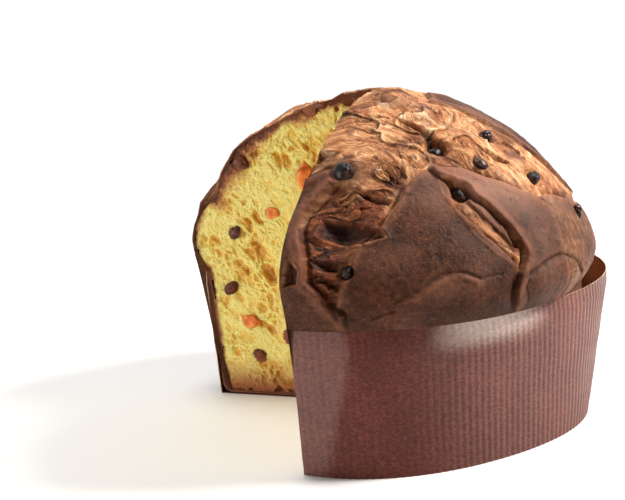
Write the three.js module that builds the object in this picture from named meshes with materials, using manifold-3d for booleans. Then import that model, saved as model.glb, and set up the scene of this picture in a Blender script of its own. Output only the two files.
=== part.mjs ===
// A cut panettone in its fluted paper case, with raisins and candied orange in the crust and at the cut.
// Millimetres, +Z up, origin on the floor under the loaf's axis.
// Azimuths are degrees from the front (-Y), positive towards +X.
import * as THREE from "three";
import { mergeVertices } from "three/addons/utils/BufferGeometryUtils.js";
import Module from "manifold-3d";

const wasm = await Module();
wasm.setup();

// Paper case
const MOULD_RADIUS = 100;
const CASE_HEIGHT = 66.5;
const BASE_SHARE = 0.965;
// The paper is pulled open on the right, where the loaf has shrunk away from it.
const FLARE = { azimuth: 95, width: 30, share: 0.095 };
const PAPER = 0.6;
const FLUTE_COUNT = 190;
const FLUTE_DEPTH = 0.75;
// The soft case is a little out of round, in shares of its radius.
const OUT_OF_ROUND = { cos2: -0.013, sin2: 0.015, cos3: 0.013, sin3: -0.048 };

// Loaf
const LOAF_HEIGHT = 158.5;
const SHOULDER_HEIGHT = 82;
const SHOULDER_RADIUS = 103;
const SHOULDER_LEAN = 4.5;
const LEAN_AZIMUTH = -60;
const DOME_ROUND = 1.12;
const DOME_FLAT = 4 / 3;
const RIM_SHARE = 0.975;
const SHRINK = { azimuth: 88, width: 38, share: 0.055, inside: 11.5 };
const GAP = 0.3;
const SIDE_GAP = 0.5;
const SHELF = 0.4;
const GRID_STEP = 5.85;

// The missing wedge, cut to a tip just off the axis
const NEAR_CUT = -29;
const FAR_CUT = -110;
const CUT_TIP = new THREE.Vector2(-3.8, -1.4);

// Crust: outlines of the smooth skin flaps left between the torn cuts, as [azimuth, height].
// They run down behind the paper to this height.
const FLAP_FOOT = 60;
const SHIELD = [
  [13, 130], [13, 114], [15, 109], [18, 102], [21, 96], [23, 92], [27, 87], [29, 82], [30, 73],
  [30, FLAP_FOOT], [-17, FLAP_FOOT],
  [-16, 72], [-15, 79], [-13, 85], [-12, 92], [-11, 100], [-8, 106], [-4, 111], [-1, 116], [2, 122],
];
const EAR = [
  [-17, 127], [-23, 120], [-25, 114], [-26, 105], [-24.5, 97], [-24, 86], [-23, 76],
  [-22, FLAP_FOOT], [-60, FLAP_FOOT],
  [-60, 122], [-40, 124], [-30, 127], [-22, 130],
];
const BAND = [
  [11, 131], [24, 129], [36, 125], [41, 121], [46, 114], [54, 109], [62, 105], [72, 101], [84, 98],
  [92, 90], [96, 78],
  [97, FLAP_FOOT], [36, FLAP_FOOT],
  [34, 73], [33, 86], [34, 95], [34, 102], [33, 110], [28, 117], [23, 124], [15, 127],
];
const PETAL_STEPS = 8;
const PETAL_ARCH = 0.7;
const BACK_PETAL = petalOutline(134, 33, 90, 128);
const LEFT_PETAL = petalOutline(-142, 37, 92, 137);
const FLAPS = [
  { outline: SHIELD, lift: 0.6, lip: 1.1 },
  { outline: EAR, lift: 0.2, lip: 2.2 },
  { outline: BAND, lift: -0.2, lip: 1.6 },
  { outline: BACK_PETAL, lift: 0.6, lip: 1.6 },
  { outline: LEFT_PETAL, lift: 0.6, lip: 1.4 },
];
// Cracks and creases follow a line, as [azimuth, height] points
const CRACKS = [
  { line: [[15, 127], [23, 123], [27, 117], [32, 110], [33, 102], [33, 95], [31, 86], [32, 78], [33, 71]],
    depth: 4.5, width: 3.4 },
  { line: [[4, 150], [14, 145], [20, 141], [19, 134]], depth: 5, width: 3.8 },
  { line: [[-13, 75], [1, 81], [5, 87], [12, 89], [19, 87], [28, 82]], depth: 1.4, width: 2.4 },
  { line: [[34, 74], [37, 84], [44, 88]], depth: 2.4, width: 2.4 },
  { line: [[172, 130], [178, 116], [181, 100], [180, 84], [181, 74]], depth: 4, width: 4 },
  { line: [[88, 110], [97, 100], [99, 88], [100, 76]], depth: 3.5, width: 4 },
  { line: [[120, 132], [135, 140], [150, 146]], depth: 4, width: 4 },
];
// Swells and hollows of the crust, half width in degrees and half height in millimetres
const SWELLS = [
  { azimuth: -128, height: 130, width: 38, tall: 13, depth: -7 },
  { azimuth: -122, height: 146, width: 40, tall: 8, depth: -3 },
  { azimuth: -33, height: 99, width: 20, tall: 16, depth: -4.5 },
  { azimuth: 88, height: 104, width: 36, tall: 24, depth: 1.6 },
];
const HOLLOWS = [
  { azimuth: -17, height: 101, width: 7, tall: 18, depth: 6 },
  { azimuth: -13, height: 108.5, width: 7, tall: 4.5, depth: 4.5 },
  { azimuth: -25.5, height: 93, width: 2, tall: 7, depth: 3.5 },
  { azimuth: 24, height: 108, width: 6, tall: 17, depth: 2.4 },
  { azimuth: 99, height: 96, width: 6, tall: 22, depth: 3 },
  { azimuth: 181, height: 98, width: 6, tall: 24, depth: 4 },
];
// Torn dough sinks a little below its top height, and is rough.
// Skin flaps are smoother and rise at their edges.
const TEAR = { top: 138, bottom: 116, depth: 1.2, level: 0.4, rough: 1.9, grain: 17 };
const SKIN = { rough: 0.7, grain: 26, edgeOutside: 4.5, edgeInside: 2.5, lipWidth: 4.6 };
const RIM_FADE = 9;

// Fruit: raisins on the crust, as [azimuth, height, half length]
const CRUST_RAISINS = [
  [19, 137, 4.3], [50, 138, 3.9], [53, 119, 4.4], [31, 127.5, 3.4], [66, 99, 3.6], [-18, 129.5, 5],
  [19, 119, 3.6], [-14, 93, 3.2], [102, 124, 4.2], [141, 137, 4], [173, 112, 3.8], [-150, 144, 4.4],
  [-171, 127, 3.6], [120, 147, 3.8],
];
// Shares of a crust raisin's half length, how much of its width is sunk, and its turn from one to the next
const CRUST_RAISIN = { width: 0.78, thickness: 0.9, sunk: 0.25, spin: 1.9 };
// Fruit at the cut faces, as [distance from the tip, height, half length, half width, turn]
const FAR_RAISINS = [
  [27, 152.5, 3, 2.6, 10], [72, 124, 4.4, 3.2, 40], [83, 58, 4.2, 3.4, 20], [52, 33, 4.4, 3.2, -30],
  [22, 97, 4, 3, 60], [41, 71, 3.8, 3.1, 0], [79, 88, 3.4, 2.8, 75], [70, 22, 3.9, 3.1, 15],
];
const FAR_ORANGE = [
  [38, 117, 6, 3.4, 70], [33, 149.5, 3.4, 2.6, 40], [74, 40, 4, 3, 20], [27, 47, 3.8, 2.8, -50],
  [57, 98, 3.2, 2.6, 10],
];
const NEAR_RAISINS = [
  [31, 136, 4, 3, -20], [60, 119, 4.3, 3.4, 30], [87, 96, 3.8, 3, 70], [44, 97, 4.4, 3.2, 0],
  [70, 64, 4.2, 3.3, 50], [24, 61, 3.8, 3, -40], [54, 31, 4.4, 3.2, 15], [85, 38, 3.6, 3, 80],
];
const NEAR_ORANGE = [
  [48, 131, 3.6, 2.8, 25], [79, 79, 4, 2.9, -15], [33, 79, 3.6, 2.8, 60], [61, 47, 3.8, 2.6, 0],
  [18, 31, 3.4, 2.8, 35],
];
// Thickness of this fruit as a share of its half width, and how much of that lies behind the face
const FRUIT_THICKNESS = 0.95;
const FRUIT_SUNK = 0.45;

// Holes in the crumb, as [distance from the tip, height, half length, half width, turn].
// The rest are scattered.
const FAR_HOLES = [
  [47.5, 124, 5, 2.4, 75], [71, 91, 5, 2.3, 70], [66.5, 78.5, 6.5, 3.4, 60], [61.5, 66, 6.5, 3.6, 65],
  [13, 151.6, 3, 1.3, 20], [63.5, 128.5, 3.8, 1.8, -20],
];
const HOLE_DEPTH = 1.3;
const HOLE_SUNK = 0.25;
const HOLE_SEED = 41;
const SCATTER = {
  holes: 13, tries: 4000, along: [9, 84], height: [14, 132], length: [3, 3.4], slim: [0.42, 0.2],
  turn: [50, 60], apart: 2.5, fromCrust: 6, crust: 3,
};

const PALETTE = {
  crust: { color: 0x70462f, roughness: 0.62 },
  paper: { color: 0x6b3a36, roughness: 0.6 },
  raisin: { color: 0x241512, roughness: 0.4 },
  orange: { color: 0xc8641e, roughness: 0.45 },
};

function radians(degrees) {
  return THREE.MathUtils.degToRad(degrees);
}

// Unit vector on the floor in the direction of an azimuth.
function heading(azimuth) {
  return new THREE.Vector2(Math.sin(radians(azimuth)), -Math.cos(radians(azimuth)));
}

function smooth(from, to, value) {
  const t = THREE.MathUtils.clamp((value - from) / (to - from), 0, 1);
  return t * t * (3 - 2 * t);
}

// A bell over azimuth that is 1 at its middle and wraps round the loaf.
function bell(azimuth, middle, width) {
  const turn = THREE.MathUtils.euclideanModulo(azimuth - middle + 180, 360) - 180;
  return Math.exp(-((turn / width) ** 2));
}

function petalOutline(middle, halfWidth, sideHeight, topHeight) {
  const outline = [[middle - halfWidth, FLAP_FOOT]];
  for (let i = 0; i <= PETAL_STEPS; i++) {
    const across = (2 * i) / PETAL_STEPS - 1;
    const arch = Math.cos((across * Math.PI) / 2) ** PETAL_ARCH;
    outline.push([middle + across * halfWidth, sideHeight + (topHeight - sideHeight) * arch]);
  }
  outline.push([middle + halfWidth, FLAP_FOOT]);
  return outline;
}

// Seeded random numbers, 0 to 1.
function randomFrom(seed) {
  let state = seed;
  return () => {
    state = (state * 1664525 + 1013904223) % 4294967296;
    return state / 4294967296;
  };
}

function latticeValue(x, y, z) {
  const value = Math.sin(x * 127.1 + y * 311.7 + z * 74.7) * 43758.5453;
  return value - Math.floor(value);
}

// Smooth noise from -1 to 1 in three dimensions.
function noise(x, y, z) {
  const cell = [Math.floor(x), Math.floor(y), Math.floor(z)];
  const part = [x - cell[0], y - cell[1], z - cell[2]].map((t) => t * t * (3 - 2 * t));
  let sum = 0;
  for (let corner = 0; corner < 8; corner++) {
    const step = [corner & 1, (corner >> 1) & 1, (corner >> 2) & 1];
    const weight = step.reduce((w, s, axis) => w * (s ? part[axis] : 1 - part[axis]), 1);
    sum += weight * latticeValue(cell[0] + step[0], cell[1] + step[1], cell[2] + step[2]);
  }
  return 2 * sum - 1;
}

// Case radius at its rim for an azimuth, and how it narrows to the base.
function planRadius(azimuth) {
  const a = radians(azimuth);
  const share = 1 + OUT_OF_ROUND.cos2 * Math.cos(2 * a) + OUT_OF_ROUND.sin2 * Math.sin(2 * a)
    + OUT_OF_ROUND.cos3 * Math.cos(3 * a) + OUT_OF_ROUND.sin3 * Math.sin(3 * a);
  return MOULD_RADIUS * share;
}

function caseRadius(azimuth, z) {
  const base = BASE_SHARE - FLARE.share * bell(azimuth, FLARE.azimuth, FLARE.width);
  return planRadius(azimuth) * (base + ((1 - base) * z) / CASE_HEIGHT);
}

// Loaf radius before the crust's relief.
function loafRadius(azimuth, z) {
  const shoulder = SHOULDER_RADIUS + SHOULDER_LEAN * Math.cos(radians(azimuth - LEAN_AZIMUTH));
  if (z >= SHOULDER_HEIGHT) {
    const rise = Math.min(1, (z - SHOULDER_HEIGHT) / (LOAF_HEIGHT - SHOULDER_HEIGHT));
    return shoulder * (1 - rise ** (2 / DOME_FLAT)) ** (DOME_ROUND / 2);
  }
  const drop = (SHOULDER_HEIGHT - z) / (SHOULDER_HEIGHT - CASE_HEIGHT);
  const share = RIM_SHARE - SHRINK.share * bell(azimuth, SHRINK.azimuth, SHRINK.width);
  return shoulder * (1 - (1 - share) * drop * drop);
}

// The meridian from the apex down, as arc length against height.
const MERIDIAN = [];
const MERIDIAN_STEPS = 240;
for (let i = 0; i <= MERIDIAN_STEPS; i++) {
  const angle = (Math.PI / 2) * (1 - i / MERIDIAN_STEPS);
  MERIDIAN.push({
    z: SHOULDER_HEIGHT + (LOAF_HEIGHT - SHOULDER_HEIGHT) * Math.sin(angle) ** DOME_FLAT,
    r: SHOULDER_RADIUS * Math.max(0, Math.cos(angle)) ** DOME_ROUND,
    arc: 0,
  });
  const last = MERIDIAN[i - 1];
  if (last) MERIDIAN[i].arc = last.arc + Math.hypot(MERIDIAN[i].z - last.z, MERIDIAN[i].r - last.r);
}
const SHOULDER_ARC = MERIDIAN[MERIDIAN_STEPS].arc;

function between(value, key, wanted) {
  const sign = key === "z" ? -1 : 1;
  const i = Math.max(1, MERIDIAN.findIndex((m) => sign * m[key] >= sign * value));
  const a = MERIDIAN[i - 1];
  const b = MERIDIAN[i];
  return a[wanted] + ((b[wanted] - a[wanted]) * (value - a[key])) / (b[key] - a[key]);
}

function arcAt(z) {
  if (z < SHOULDER_HEIGHT) return SHOULDER_ARC + SHOULDER_HEIGHT - z;
  return between(Math.min(z, LOAF_HEIGHT), "z", "arc");
}

function heightAt(arc) {
  return arc > SHOULDER_ARC ? SHOULDER_HEIGHT - (arc - SHOULDER_ARC) : between(arc, "arc", "z");
}

// A flat chart of the dome that keeps shapes true, with the apex at its middle.
function chart(azimuth, z) {
  const reach = Math.tan((arcAt(z) / SHOULDER_ARC) * (Math.PI / 4));
  return heading(azimuth).multiplyScalar(reach);
}

const CHART_TURN = 6;

function chartLine(points, closed) {
  const ends = closed ? [...points, points[0]] : points;
  const line = [];
  for (let i = 1; i < ends.length; i++) {
    const [a0, z0] = ends[i - 1];
    const [a1, z1] = ends[i];
    const steps = Math.max(1, Math.ceil(Math.abs(a1 - a0) / CHART_TURN));
    for (let k = 0; k < steps; k++) {
      const share = k / steps;
      line.push(chart(a0 + (a1 - a0) * share, z0 + (z1 - z0) * share));
    }
  }
  if (!closed) line.push(chart(...ends[ends.length - 1]));
  return line;
}

function lineDistance(point, line, closed) {
  let best = Infinity;
  const count = closed ? line.length : line.length - 1;
  for (let i = 0; i < count; i++) {
    const a = line[i];
    const b = line[(i + 1) % line.length];
    const along = b.clone().sub(a);
    const t = THREE.MathUtils.clamp(point.clone().sub(a).dot(along) / along.lengthSq(), 0, 1);
    best = Math.min(best, point.distanceTo(a.clone().addScaledVector(along, t)));
  }
  return best;
}

function inside(point, line) {
  let odd = false;
  for (let i = 0; i < line.length; i++) {
    const a = line[i];
    const b = line[(i + 1) % line.length];
    const crosses = a.y > point.y !== b.y > point.y;
    if (crosses && point.x < a.x + ((b.x - a.x) * (point.y - a.y)) / (b.y - a.y)) odd = !odd;
  }
  return odd;
}

for (const flap of FLAPS) flap.chart = chartLine(flap.outline, true);
for (const crack of CRACKS) crack.chart = chartLine(crack.line, false);

// How far soft swells and hollows push the crust in.
function pushed(places, azimuth, z) {
  let depth = 0;
  for (const place of places) {
    const up = Math.exp(-(((z - place.height) / place.tall) ** 2));
    depth += place.depth * bell(azimuth, place.azimuth, place.width) * up;
  }
  return depth;
}

// Height of the crust over the plain dome: torn dough in the cuts, smooth flaps that stand over it.
function relief(azimuth, z) {
  const point = chart(azimuth, z);
  const radius = Math.max(loafRadius(azimuth, z), 1);
  const scale = radius / Math.max(point.length(), 0.01);
  const x = radius * Math.sin(radians(azimuth));
  const y = -radius * Math.cos(radians(azimuth));
  const bumps = (grain) => noise(x / grain, y / grain, z / (0.7 * grain));
  let height = -TEAR.level - TEAR.depth * (1 - smooth(TEAR.bottom, TEAR.top, z));
  height += TEAR.rough * (bumps(TEAR.grain) + 0.5 * bumps(TEAR.grain / 2));
  height -= pushed(HOLLOWS, azimuth, z);
  for (const flap of FLAPS) {
    const edge = lineDistance(point, flap.chart, true) * scale;
    const depth = inside(point, flap.chart) ? edge : -edge;
    const skin = flap.lift + SKIN.rough * bumps(SKIN.grain);
    height = THREE.MathUtils.lerp(height, skin, smooth(-SKIN.edgeOutside, SKIN.edgeInside, depth));
    height += flap.lip * Math.exp(-(((depth - SKIN.edgeInside) / SKIN.lipWidth) ** 2));
  }
  for (const crack of CRACKS) {
    const away = lineDistance(point, crack.chart, false) * scale;
    height -= crack.depth * Math.exp(-((away / crack.width) ** 2));
  }
  height -= pushed(SWELLS, azimuth, z);
  return height * smooth(CASE_HEIGHT + SHELF, CASE_HEIGHT + RIM_FADE, z);
}

// A point of the crust and its outward direction.
function crustPoint(azimuth, arc) {
  const z = heightAt(arc);
  const r = loafRadius(azimuth, z);
  const step = 0.5;
  const above = heightAt(Math.max(0, arc - step));
  const below = heightAt(arc + step);
  const slope = new THREE.Vector2(
    loafRadius(azimuth, below) - loafRadius(azimuth, above), below - above).normalize();
  const away = heading(azimuth);
  const normal = new THREE.Vector3(-slope.y * away.x, -slope.y * away.y, slope.x);
  const point = new THREE.Vector3(r * away.x, r * away.y, z);
  return { point: point.addScaledVector(normal, relief(azimuth, z)), normal };
}

function solidFrom(geometry) {
  const bare = geometry.clone();
  bare.deleteAttribute("normal");
  bare.deleteAttribute("uv");
  const merged = mergeVertices(bare, 1e-4);
  return new wasm.Manifold(new wasm.Mesh({
    numProp: 3,
    vertProperties: new Float32Array(merged.attributes.position.array),
    triVerts: new Uint32Array(merged.index.array),
  }));
}

// The largest body of a solid as a geometry, with any loose crumb of a cut dropped.
function geometryFrom(solid) {
  const bodies = solid.decompose().sort((a, b) => b.volume() - a.volume());
  const mesh = bodies[0].getMesh();
  const geometry = new THREE.BufferGeometry();
  geometry.setAttribute("position", new THREE.BufferAttribute(new Float32Array(mesh.vertProperties), 3));
  geometry.setIndex(new THREE.BufferAttribute(new Uint32Array(mesh.triVerts), 1));
  geometry.computeVertexNormals();
  return geometry;
}

// Closes a stack of rings, which may differ in count, between a bottom and a top point.
function ringStack(bottom, rings, top) {
  const vertices = [bottom.x, bottom.y, bottom.z];
  const faces = [];
  const starts = [];
  for (const ring of rings) {
    starts.push(vertices.length / 3);
    for (const p of ring) vertices.push(p.x, p.y, p.z);
  }
  const last = vertices.length / 3;
  vertices.push(top.x, top.y, top.z);
  const first = rings[0].length;
  for (let i = 0; i < first; i++) faces.push(0, starts[0] + ((i + 1) % first), starts[0] + i);
  for (let k = 1; k < rings.length; k++) {
    const low = rings[k - 1].length;
    const high = rings[k].length;
    let i = 0;
    let j = 0;
    while (i < low || j < high) {
      const a = starts[k - 1] + (i % low);
      const b = starts[k] + (j % high);
      if (j >= high || (i < low && (i + 1) / low <= (j + 1) / high)) {
        faces.push(a, starts[k - 1] + ((i + 1) % low), b);
        i++;
      } else {
        faces.push(a, starts[k] + ((j + 1) % high), b);
        j++;
      }
    }
  }
  const count = rings[rings.length - 1].length;
  const start = starts[rings.length - 1];
  for (let i = 0; i < count; i++) faces.push(start + i, start + ((i + 1) % count), last);
  const geometry = new THREE.BufferGeometry();
  geometry.setAttribute("position", new THREE.Float32BufferAttribute(vertices, 3));
  geometry.setIndex(faces);
  return geometry;
}

function ringOf(count, pointAt) {
  return Array.from({ length: count }, (_, i) => pointAt((360 * i) / count));
}

// The part of the loaf inside the case follows the paper, and stands off it where it has shrunk.
function sideRing(count, z, inset) {
  return ringOf(count, (azimuth) => {
    const room = caseRadius(azimuth, z) - FLUTE_DEPTH - PAPER / 2 - SIDE_GAP - inset;
    const shrunk = (SHRINK.inside * bell(azimuth, SHRINK.azimuth, SHRINK.width) * z) / CASE_HEIGHT;
    return heading(azimuth).multiplyScalar(room - shrunk);
  }).map((p) => new THREE.Vector3(p.x, p.y, z));
}

function wholeLoaf() {
  const sides = 96;
  const foot = PAPER + GAP;
  const rounding = 4;
  const middle = 0.55 * CASE_HEIGHT;
  const rowShare = 0.87;
  const rings = [
    sideRing(sides, foot, rounding),
    sideRing(sides, foot + rounding, 0),
    sideRing(sides, middle, 0),
    sideRing(sides, CASE_HEIGHT + SHELF, 0),
  ];
  const rimArc = arcAt(CASE_HEIGHT + 2 * SHELF);
  const rows = Math.round(rimArc / (GRID_STEP * rowShare));
  for (let k = 0; k < rows; k++) {
    const arc = rimArc * (1 - k / rows);
    const radius = loafRadius(0, heightAt(arc));
    const count = Math.max(7, Math.round((2 * Math.PI * radius) / GRID_STEP));
    rings.push(ringOf(count, (azimuth) => crustPoint(azimuth, arc).point));
  }
  const apex = new THREE.Vector3(0, 0, LOAF_HEIGHT + relief(0, LOAF_HEIGHT));
  return solidFrom(ringStack(new THREE.Vector3(0, 0, foot), rings, apex));
}

// The missing wedge as a tall prism.
function wedge() {
  const reach = 2;
  const margin = 10;
  const corners = [FAR_CUT, (FAR_CUT + NEAR_CUT) / 2, NEAR_CUT].map((azimuth) => {
    const away = heading(azimuth).multiplyScalar(MOULD_RADIUS).sub(CUT_TIP);
    return CUT_TIP.clone().addScaledVector(away, reach);
  });
  const shape = new THREE.Shape([CUT_TIP, ...corners]);
  const prism = new THREE.ExtrudeGeometry(shape, { depth: LOAF_HEIGHT + 3 * margin, bevelEnabled: false });
  return solidFrom(prism.translate(0, 0, -margin));
}

// A frame on a cut face: along it from the tip, up it, and out of it into the gap.
function faceFrame(cut, side) {
  const along = heading(cut).multiplyScalar(MOULD_RADIUS).sub(CUT_TIP).normalize();
  const out = new THREE.Vector3(along.y * side, -along.x * side, 0);
  return { along: new THREE.Vector3(along.x, along.y, 0), out };
}

function onFace(face, along, z, out) {
  return new THREE.Vector3(CUT_TIP.x, CUT_TIP.y, z)
    .addScaledVector(face.along, along)
    .addScaledVector(face.out, out);
}

// Places a unit shape with its X axis along the face, turned in the face's plane.
function placeOnFace(face, [along, z, length, width, turn], depth, out) {
  const up = new THREE.Vector3(0, 0, 1);
  const long = face.along.clone().multiplyScalar(Math.cos(radians(turn)))
    .addScaledVector(up, Math.sin(radians(turn)));
  const wide = face.out.clone().cross(long);
  return new THREE.Matrix4()
    .makeBasis(long, wide, face.out)
    .scale(new THREE.Vector3(length, width, depth))
    .setPosition(onFace(face, along, z, out));
}

const FAR_FACE = faceFrame(FAR_CUT, 1);
const NEAR_FACE = faceFrame(NEAR_CUT, -1);

function scatteredHoles(taken, reachAt) {
  const random = randomFrom(HOLE_SEED + taken.length);
  const drawn = ([least, spread], share) => least + spread * share;
  const holes = [];
  for (let tries = 0; tries < SCATTER.tries && holes.length < SCATTER.holes; tries++) {
    const along = drawn(SCATTER.along, random());
    const z = drawn(SCATTER.height, random());
    const length = drawn(SCATTER.length, random() ** 2);
    const width = length * drawn(SCATTER.slim, random());
    const turn = drawn(SCATTER.turn, random());
    const room = length + SCATTER.apart;
    const clear = [...taken, ...holes].every((h) => Math.hypot(h[0] - along, h[1] - z) > h[2] + room);
    const inLoaf = along + length + SCATTER.fromCrust < reachAt(z);
    if (clear && inLoaf) holes.push([along, z, length, width, turn]);
  }
  return holes;
}

function crumbHoles(face, cut, listed, fruit) {
  const reachAt = (z) => (z < CASE_HEIGHT ? MOULD_RADIUS * BASE_SHARE : loafRadius(cut, z) - SCATTER.crust);
  const all = [...listed, ...scatteredHoles([...listed, ...fruit], reachAt)];
  return all.map((hole) => {
    const pocket = new THREE.IcosahedronGeometry(1, 1);
    const width = hole[3];
    return solidFrom(pocket.applyMatrix4(placeOnFace(face, hole, HOLE_DEPTH * width, -HOLE_SUNK * width)));
  });
}

// A raisin: a ball of half size 1 with a wrinkled skin.
function raisinShape(seed) {
  const geometry = new THREE.SphereGeometry(1, 7, 5);
  const position = geometry.attributes.position;
  const wrinkleDepth = 0.14;
  const wrinkles = 2.1;
  const apart = 3.7;
  const p = new THREE.Vector3();
  for (let i = 0; i < position.count; i++) {
    p.fromBufferAttribute(position, i);
    const at = p.clone().multiplyScalar(wrinkles);
    const wrinkle = 1 + wrinkleDepth * noise(at.x + seed * apart, at.y, at.z + seed);
    position.setXYZ(i, p.x * wrinkle, p.y * wrinkle, p.z * wrinkle);
  }
  return geometry;
}

// A candied orange piece: a little block of half size 1 with rounded corners, pulled out of square.
function orangeShape(seed) {
  const geometry = new THREE.BoxGeometry(2, 2, 2, 2, 2, 2);
  const position = geometry.attributes.position;
  const square = 4;
  const unevenness = 0.16;
  const lumps = 1.3;
  const apart = 5.3;
  const p = new THREE.Vector3();
  for (let i = 0; i < position.count; i++) {
    p.fromBufferAttribute(position, i);
    const sum = Math.abs(p.x) ** square + Math.abs(p.y) ** square + Math.abs(p.z) ** square;
    const at = p.clone().multiplyScalar(lumps);
    const pull = sum ** (-1 / square) * (1 + unevenness * noise(at.x + seed * apart, at.y + seed, at.z));
    position.setXYZ(i, p.x * pull, p.y * pull, p.z * pull);
  }
  return geometry;
}

// A piece of fruit and the seat that it needs, which is the same shape grown by the gap.
function fruit(name, kind, unit, matrix, smallest) {
  const clearance = 1.6 * GAP;
  const grown = 1 + clearance / smallest;
  const seat = unit.clone().scale(grown, grown, grown).applyMatrix4(matrix);
  return { name, kind, geometry: unit.clone().applyMatrix4(matrix), seat: solidFrom(seat) };
}

function numbered(kind, index) {
  return `${kind}_${String(index).padStart(2, "0")}`;
}

function faceFruit() {
  const found = [];
  const counts = { raisin: 0, orange: 0 };
  const sets = [
    ["raisin", FAR_FACE, FAR_RAISINS], ["orange", FAR_FACE, FAR_ORANGE],
    ["raisin", NEAR_FACE, NEAR_RAISINS], ["orange", NEAR_FACE, NEAR_ORANGE],
  ];
  for (const [kind, face, list] of sets) {
    for (const item of list) {
      counts[kind] += 1;
      const depth = item[3] * FRUIT_THICKNESS;
      const matrix = placeOnFace(face, item, depth, -depth * FRUIT_SUNK);
      const unit = kind === "raisin" ? raisinShape(counts[kind]) : orangeShape(counts[kind]);
      found.push(fruit(numbered(kind, counts[kind]), kind, unit, matrix, depth));
    }
  }
  return found;
}

function crustFruit(from) {
  const up = new THREE.Vector3(0, 0, 1);
  return CRUST_RAISINS.map(([azimuth, z, length], i) => {
    const { point, normal } = crustPoint(azimuth, arcAt(z));
    const seed = from + i + 1;
    const turn = new THREE.Quaternion().setFromUnitVectors(up, normal);
    const spin = new THREE.Quaternion().setFromAxisAngle(up, seed * CRUST_RAISIN.spin);
    const width = length * CRUST_RAISIN.width;
    const thickness = width * CRUST_RAISIN.thickness;
    const place = point.addScaledVector(normal, -CRUST_RAISIN.sunk * width);
    const size = new THREE.Vector3(length, width, thickness);
    const matrix = new THREE.Matrix4().compose(place, turn.multiply(spin), size);
    return fruit(numbered("raisin", seed), "raisin", raisinShape(seed), matrix, thickness);
  });
}

// The case: a fluted wall on a flat base, one thin shell open at the top.
function wholeCase() {
  const count = 2 * FLUTE_COUNT;
  const wall = (z, offset) => Array.from({ length: count }, (_, i) => {
    const azimuth = (360 * i) / count;
    const flute = i % 2 ? FLUTE_DEPTH : -FLUTE_DEPTH;
    const p = heading(azimuth).multiplyScalar(caseRadius(azimuth, z) + flute + offset);
    return new THREE.Vector3(p.x, p.y, z);
  });
  const rings = [
    wall(0, PAPER / 2), wall(CASE_HEIGHT, PAPER / 2),
    wall(CASE_HEIGHT, -PAPER / 2), wall(PAPER, -PAPER / 2),
  ];
  return solidFrom(ringStack(new THREE.Vector3(0, 0, 0), rings, new THREE.Vector3(0, 0, PAPER)));
}

function piece(name, kind, geometry) {
  const material = new THREE.MeshStandardMaterial({ ...PALETTE[kind], metalness: 0, flatShading: true });
  const mesh = new THREE.Mesh(geometry, material);
  mesh.name = name;
  return mesh;
}

function panettone() {
  const gap = wedge();
  const inFaces = faceFruit();
  const raisinsUsed = inFaces.filter((f) => f.kind === "raisin").length;
  const allFruit = [...inFaces, ...crustFruit(raisinsUsed)];
  const cutters = [
    ...crumbHoles(FAR_FACE, FAR_CUT, FAR_HOLES, [...FAR_RAISINS, ...FAR_ORANGE]),
    ...crumbHoles(NEAR_FACE, NEAR_CUT, [], [...NEAR_RAISINS, ...NEAR_ORANGE]),
    ...allFruit.map((f) => f.seat),
  ];
  let loaf = wholeLoaf().subtract(gap);
  for (const cutter of cutters) loaf = loaf.subtract(cutter);
  const group = new THREE.Group();
  group.add(piece("loaf", "crust", geometryFrom(loaf)));
  group.add(piece("paper_case", "paper", geometryFrom(wholeCase().subtract(gap))));
  for (const item of allFruit) group.add(piece(item.name, item.kind, item.geometry));
  return group;
}

export default panettone();
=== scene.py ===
"""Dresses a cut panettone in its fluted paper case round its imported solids."""
import math

import bmesh
import bpy
import numpy as np
from mathutils import Matrix, Vector
from mathutils.geometry import delaunay_2d_cdt


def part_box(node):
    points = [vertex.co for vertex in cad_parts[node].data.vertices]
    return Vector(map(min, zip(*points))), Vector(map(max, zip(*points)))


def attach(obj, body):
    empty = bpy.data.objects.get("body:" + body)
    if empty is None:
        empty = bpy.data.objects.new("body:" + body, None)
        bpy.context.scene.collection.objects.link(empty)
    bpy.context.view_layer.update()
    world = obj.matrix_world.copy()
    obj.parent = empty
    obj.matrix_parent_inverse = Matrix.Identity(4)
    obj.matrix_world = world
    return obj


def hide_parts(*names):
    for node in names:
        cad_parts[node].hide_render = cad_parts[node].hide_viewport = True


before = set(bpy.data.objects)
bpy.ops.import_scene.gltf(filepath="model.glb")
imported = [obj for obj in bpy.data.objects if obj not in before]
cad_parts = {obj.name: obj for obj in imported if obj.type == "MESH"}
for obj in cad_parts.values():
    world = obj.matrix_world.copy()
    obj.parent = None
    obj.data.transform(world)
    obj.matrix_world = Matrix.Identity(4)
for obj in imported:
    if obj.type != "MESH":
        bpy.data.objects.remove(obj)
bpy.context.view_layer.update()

bl_info = {
    "name": "Cut panettone",
    "version": (1, 0, 0),
    "blender": (4, 5, 0),
    "location": "3D View > Sidebar > Panettone",
    "description": "Builds the crust, crumb, fruit and paper case of a cut panettone round its solids",
    "category": "Add Mesh",
}

# Lengths are in millimetres until a mesh is made, and azimuths in degrees from -Y towards +X.
MM = 0.001
RAISINS = sorted(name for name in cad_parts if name.startswith("raisin_"))
ORANGES = sorted(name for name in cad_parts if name.startswith("orange_"))

# Case
MOULD_RADIUS = 100.0
CASE_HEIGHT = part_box("paper_case")[1].z / MM
BASE_SHARE = 0.965
# Where the foot is drawn in further: azimuth, width and share of the radius
FLARE = (95, 30, 0.095)
# How far the plan is out of round: order, cosine and sine
OUT_OF_ROUND = ((2, -0.013, 0.015), (3, 0.013, -0.048))

# Loaf
LOAF_HEIGHT = 158.5
SHOULDER_HEIGHT = 82.0
SHOULDER_RADIUS = 103.0
SHOULDER_LEAN = 4.5
LEAN_AZIMUTH = -60
DOME_ROUND = 1.12
DOME_FLAT = 4 / 3
RIM_SHARE = 0.975
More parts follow.
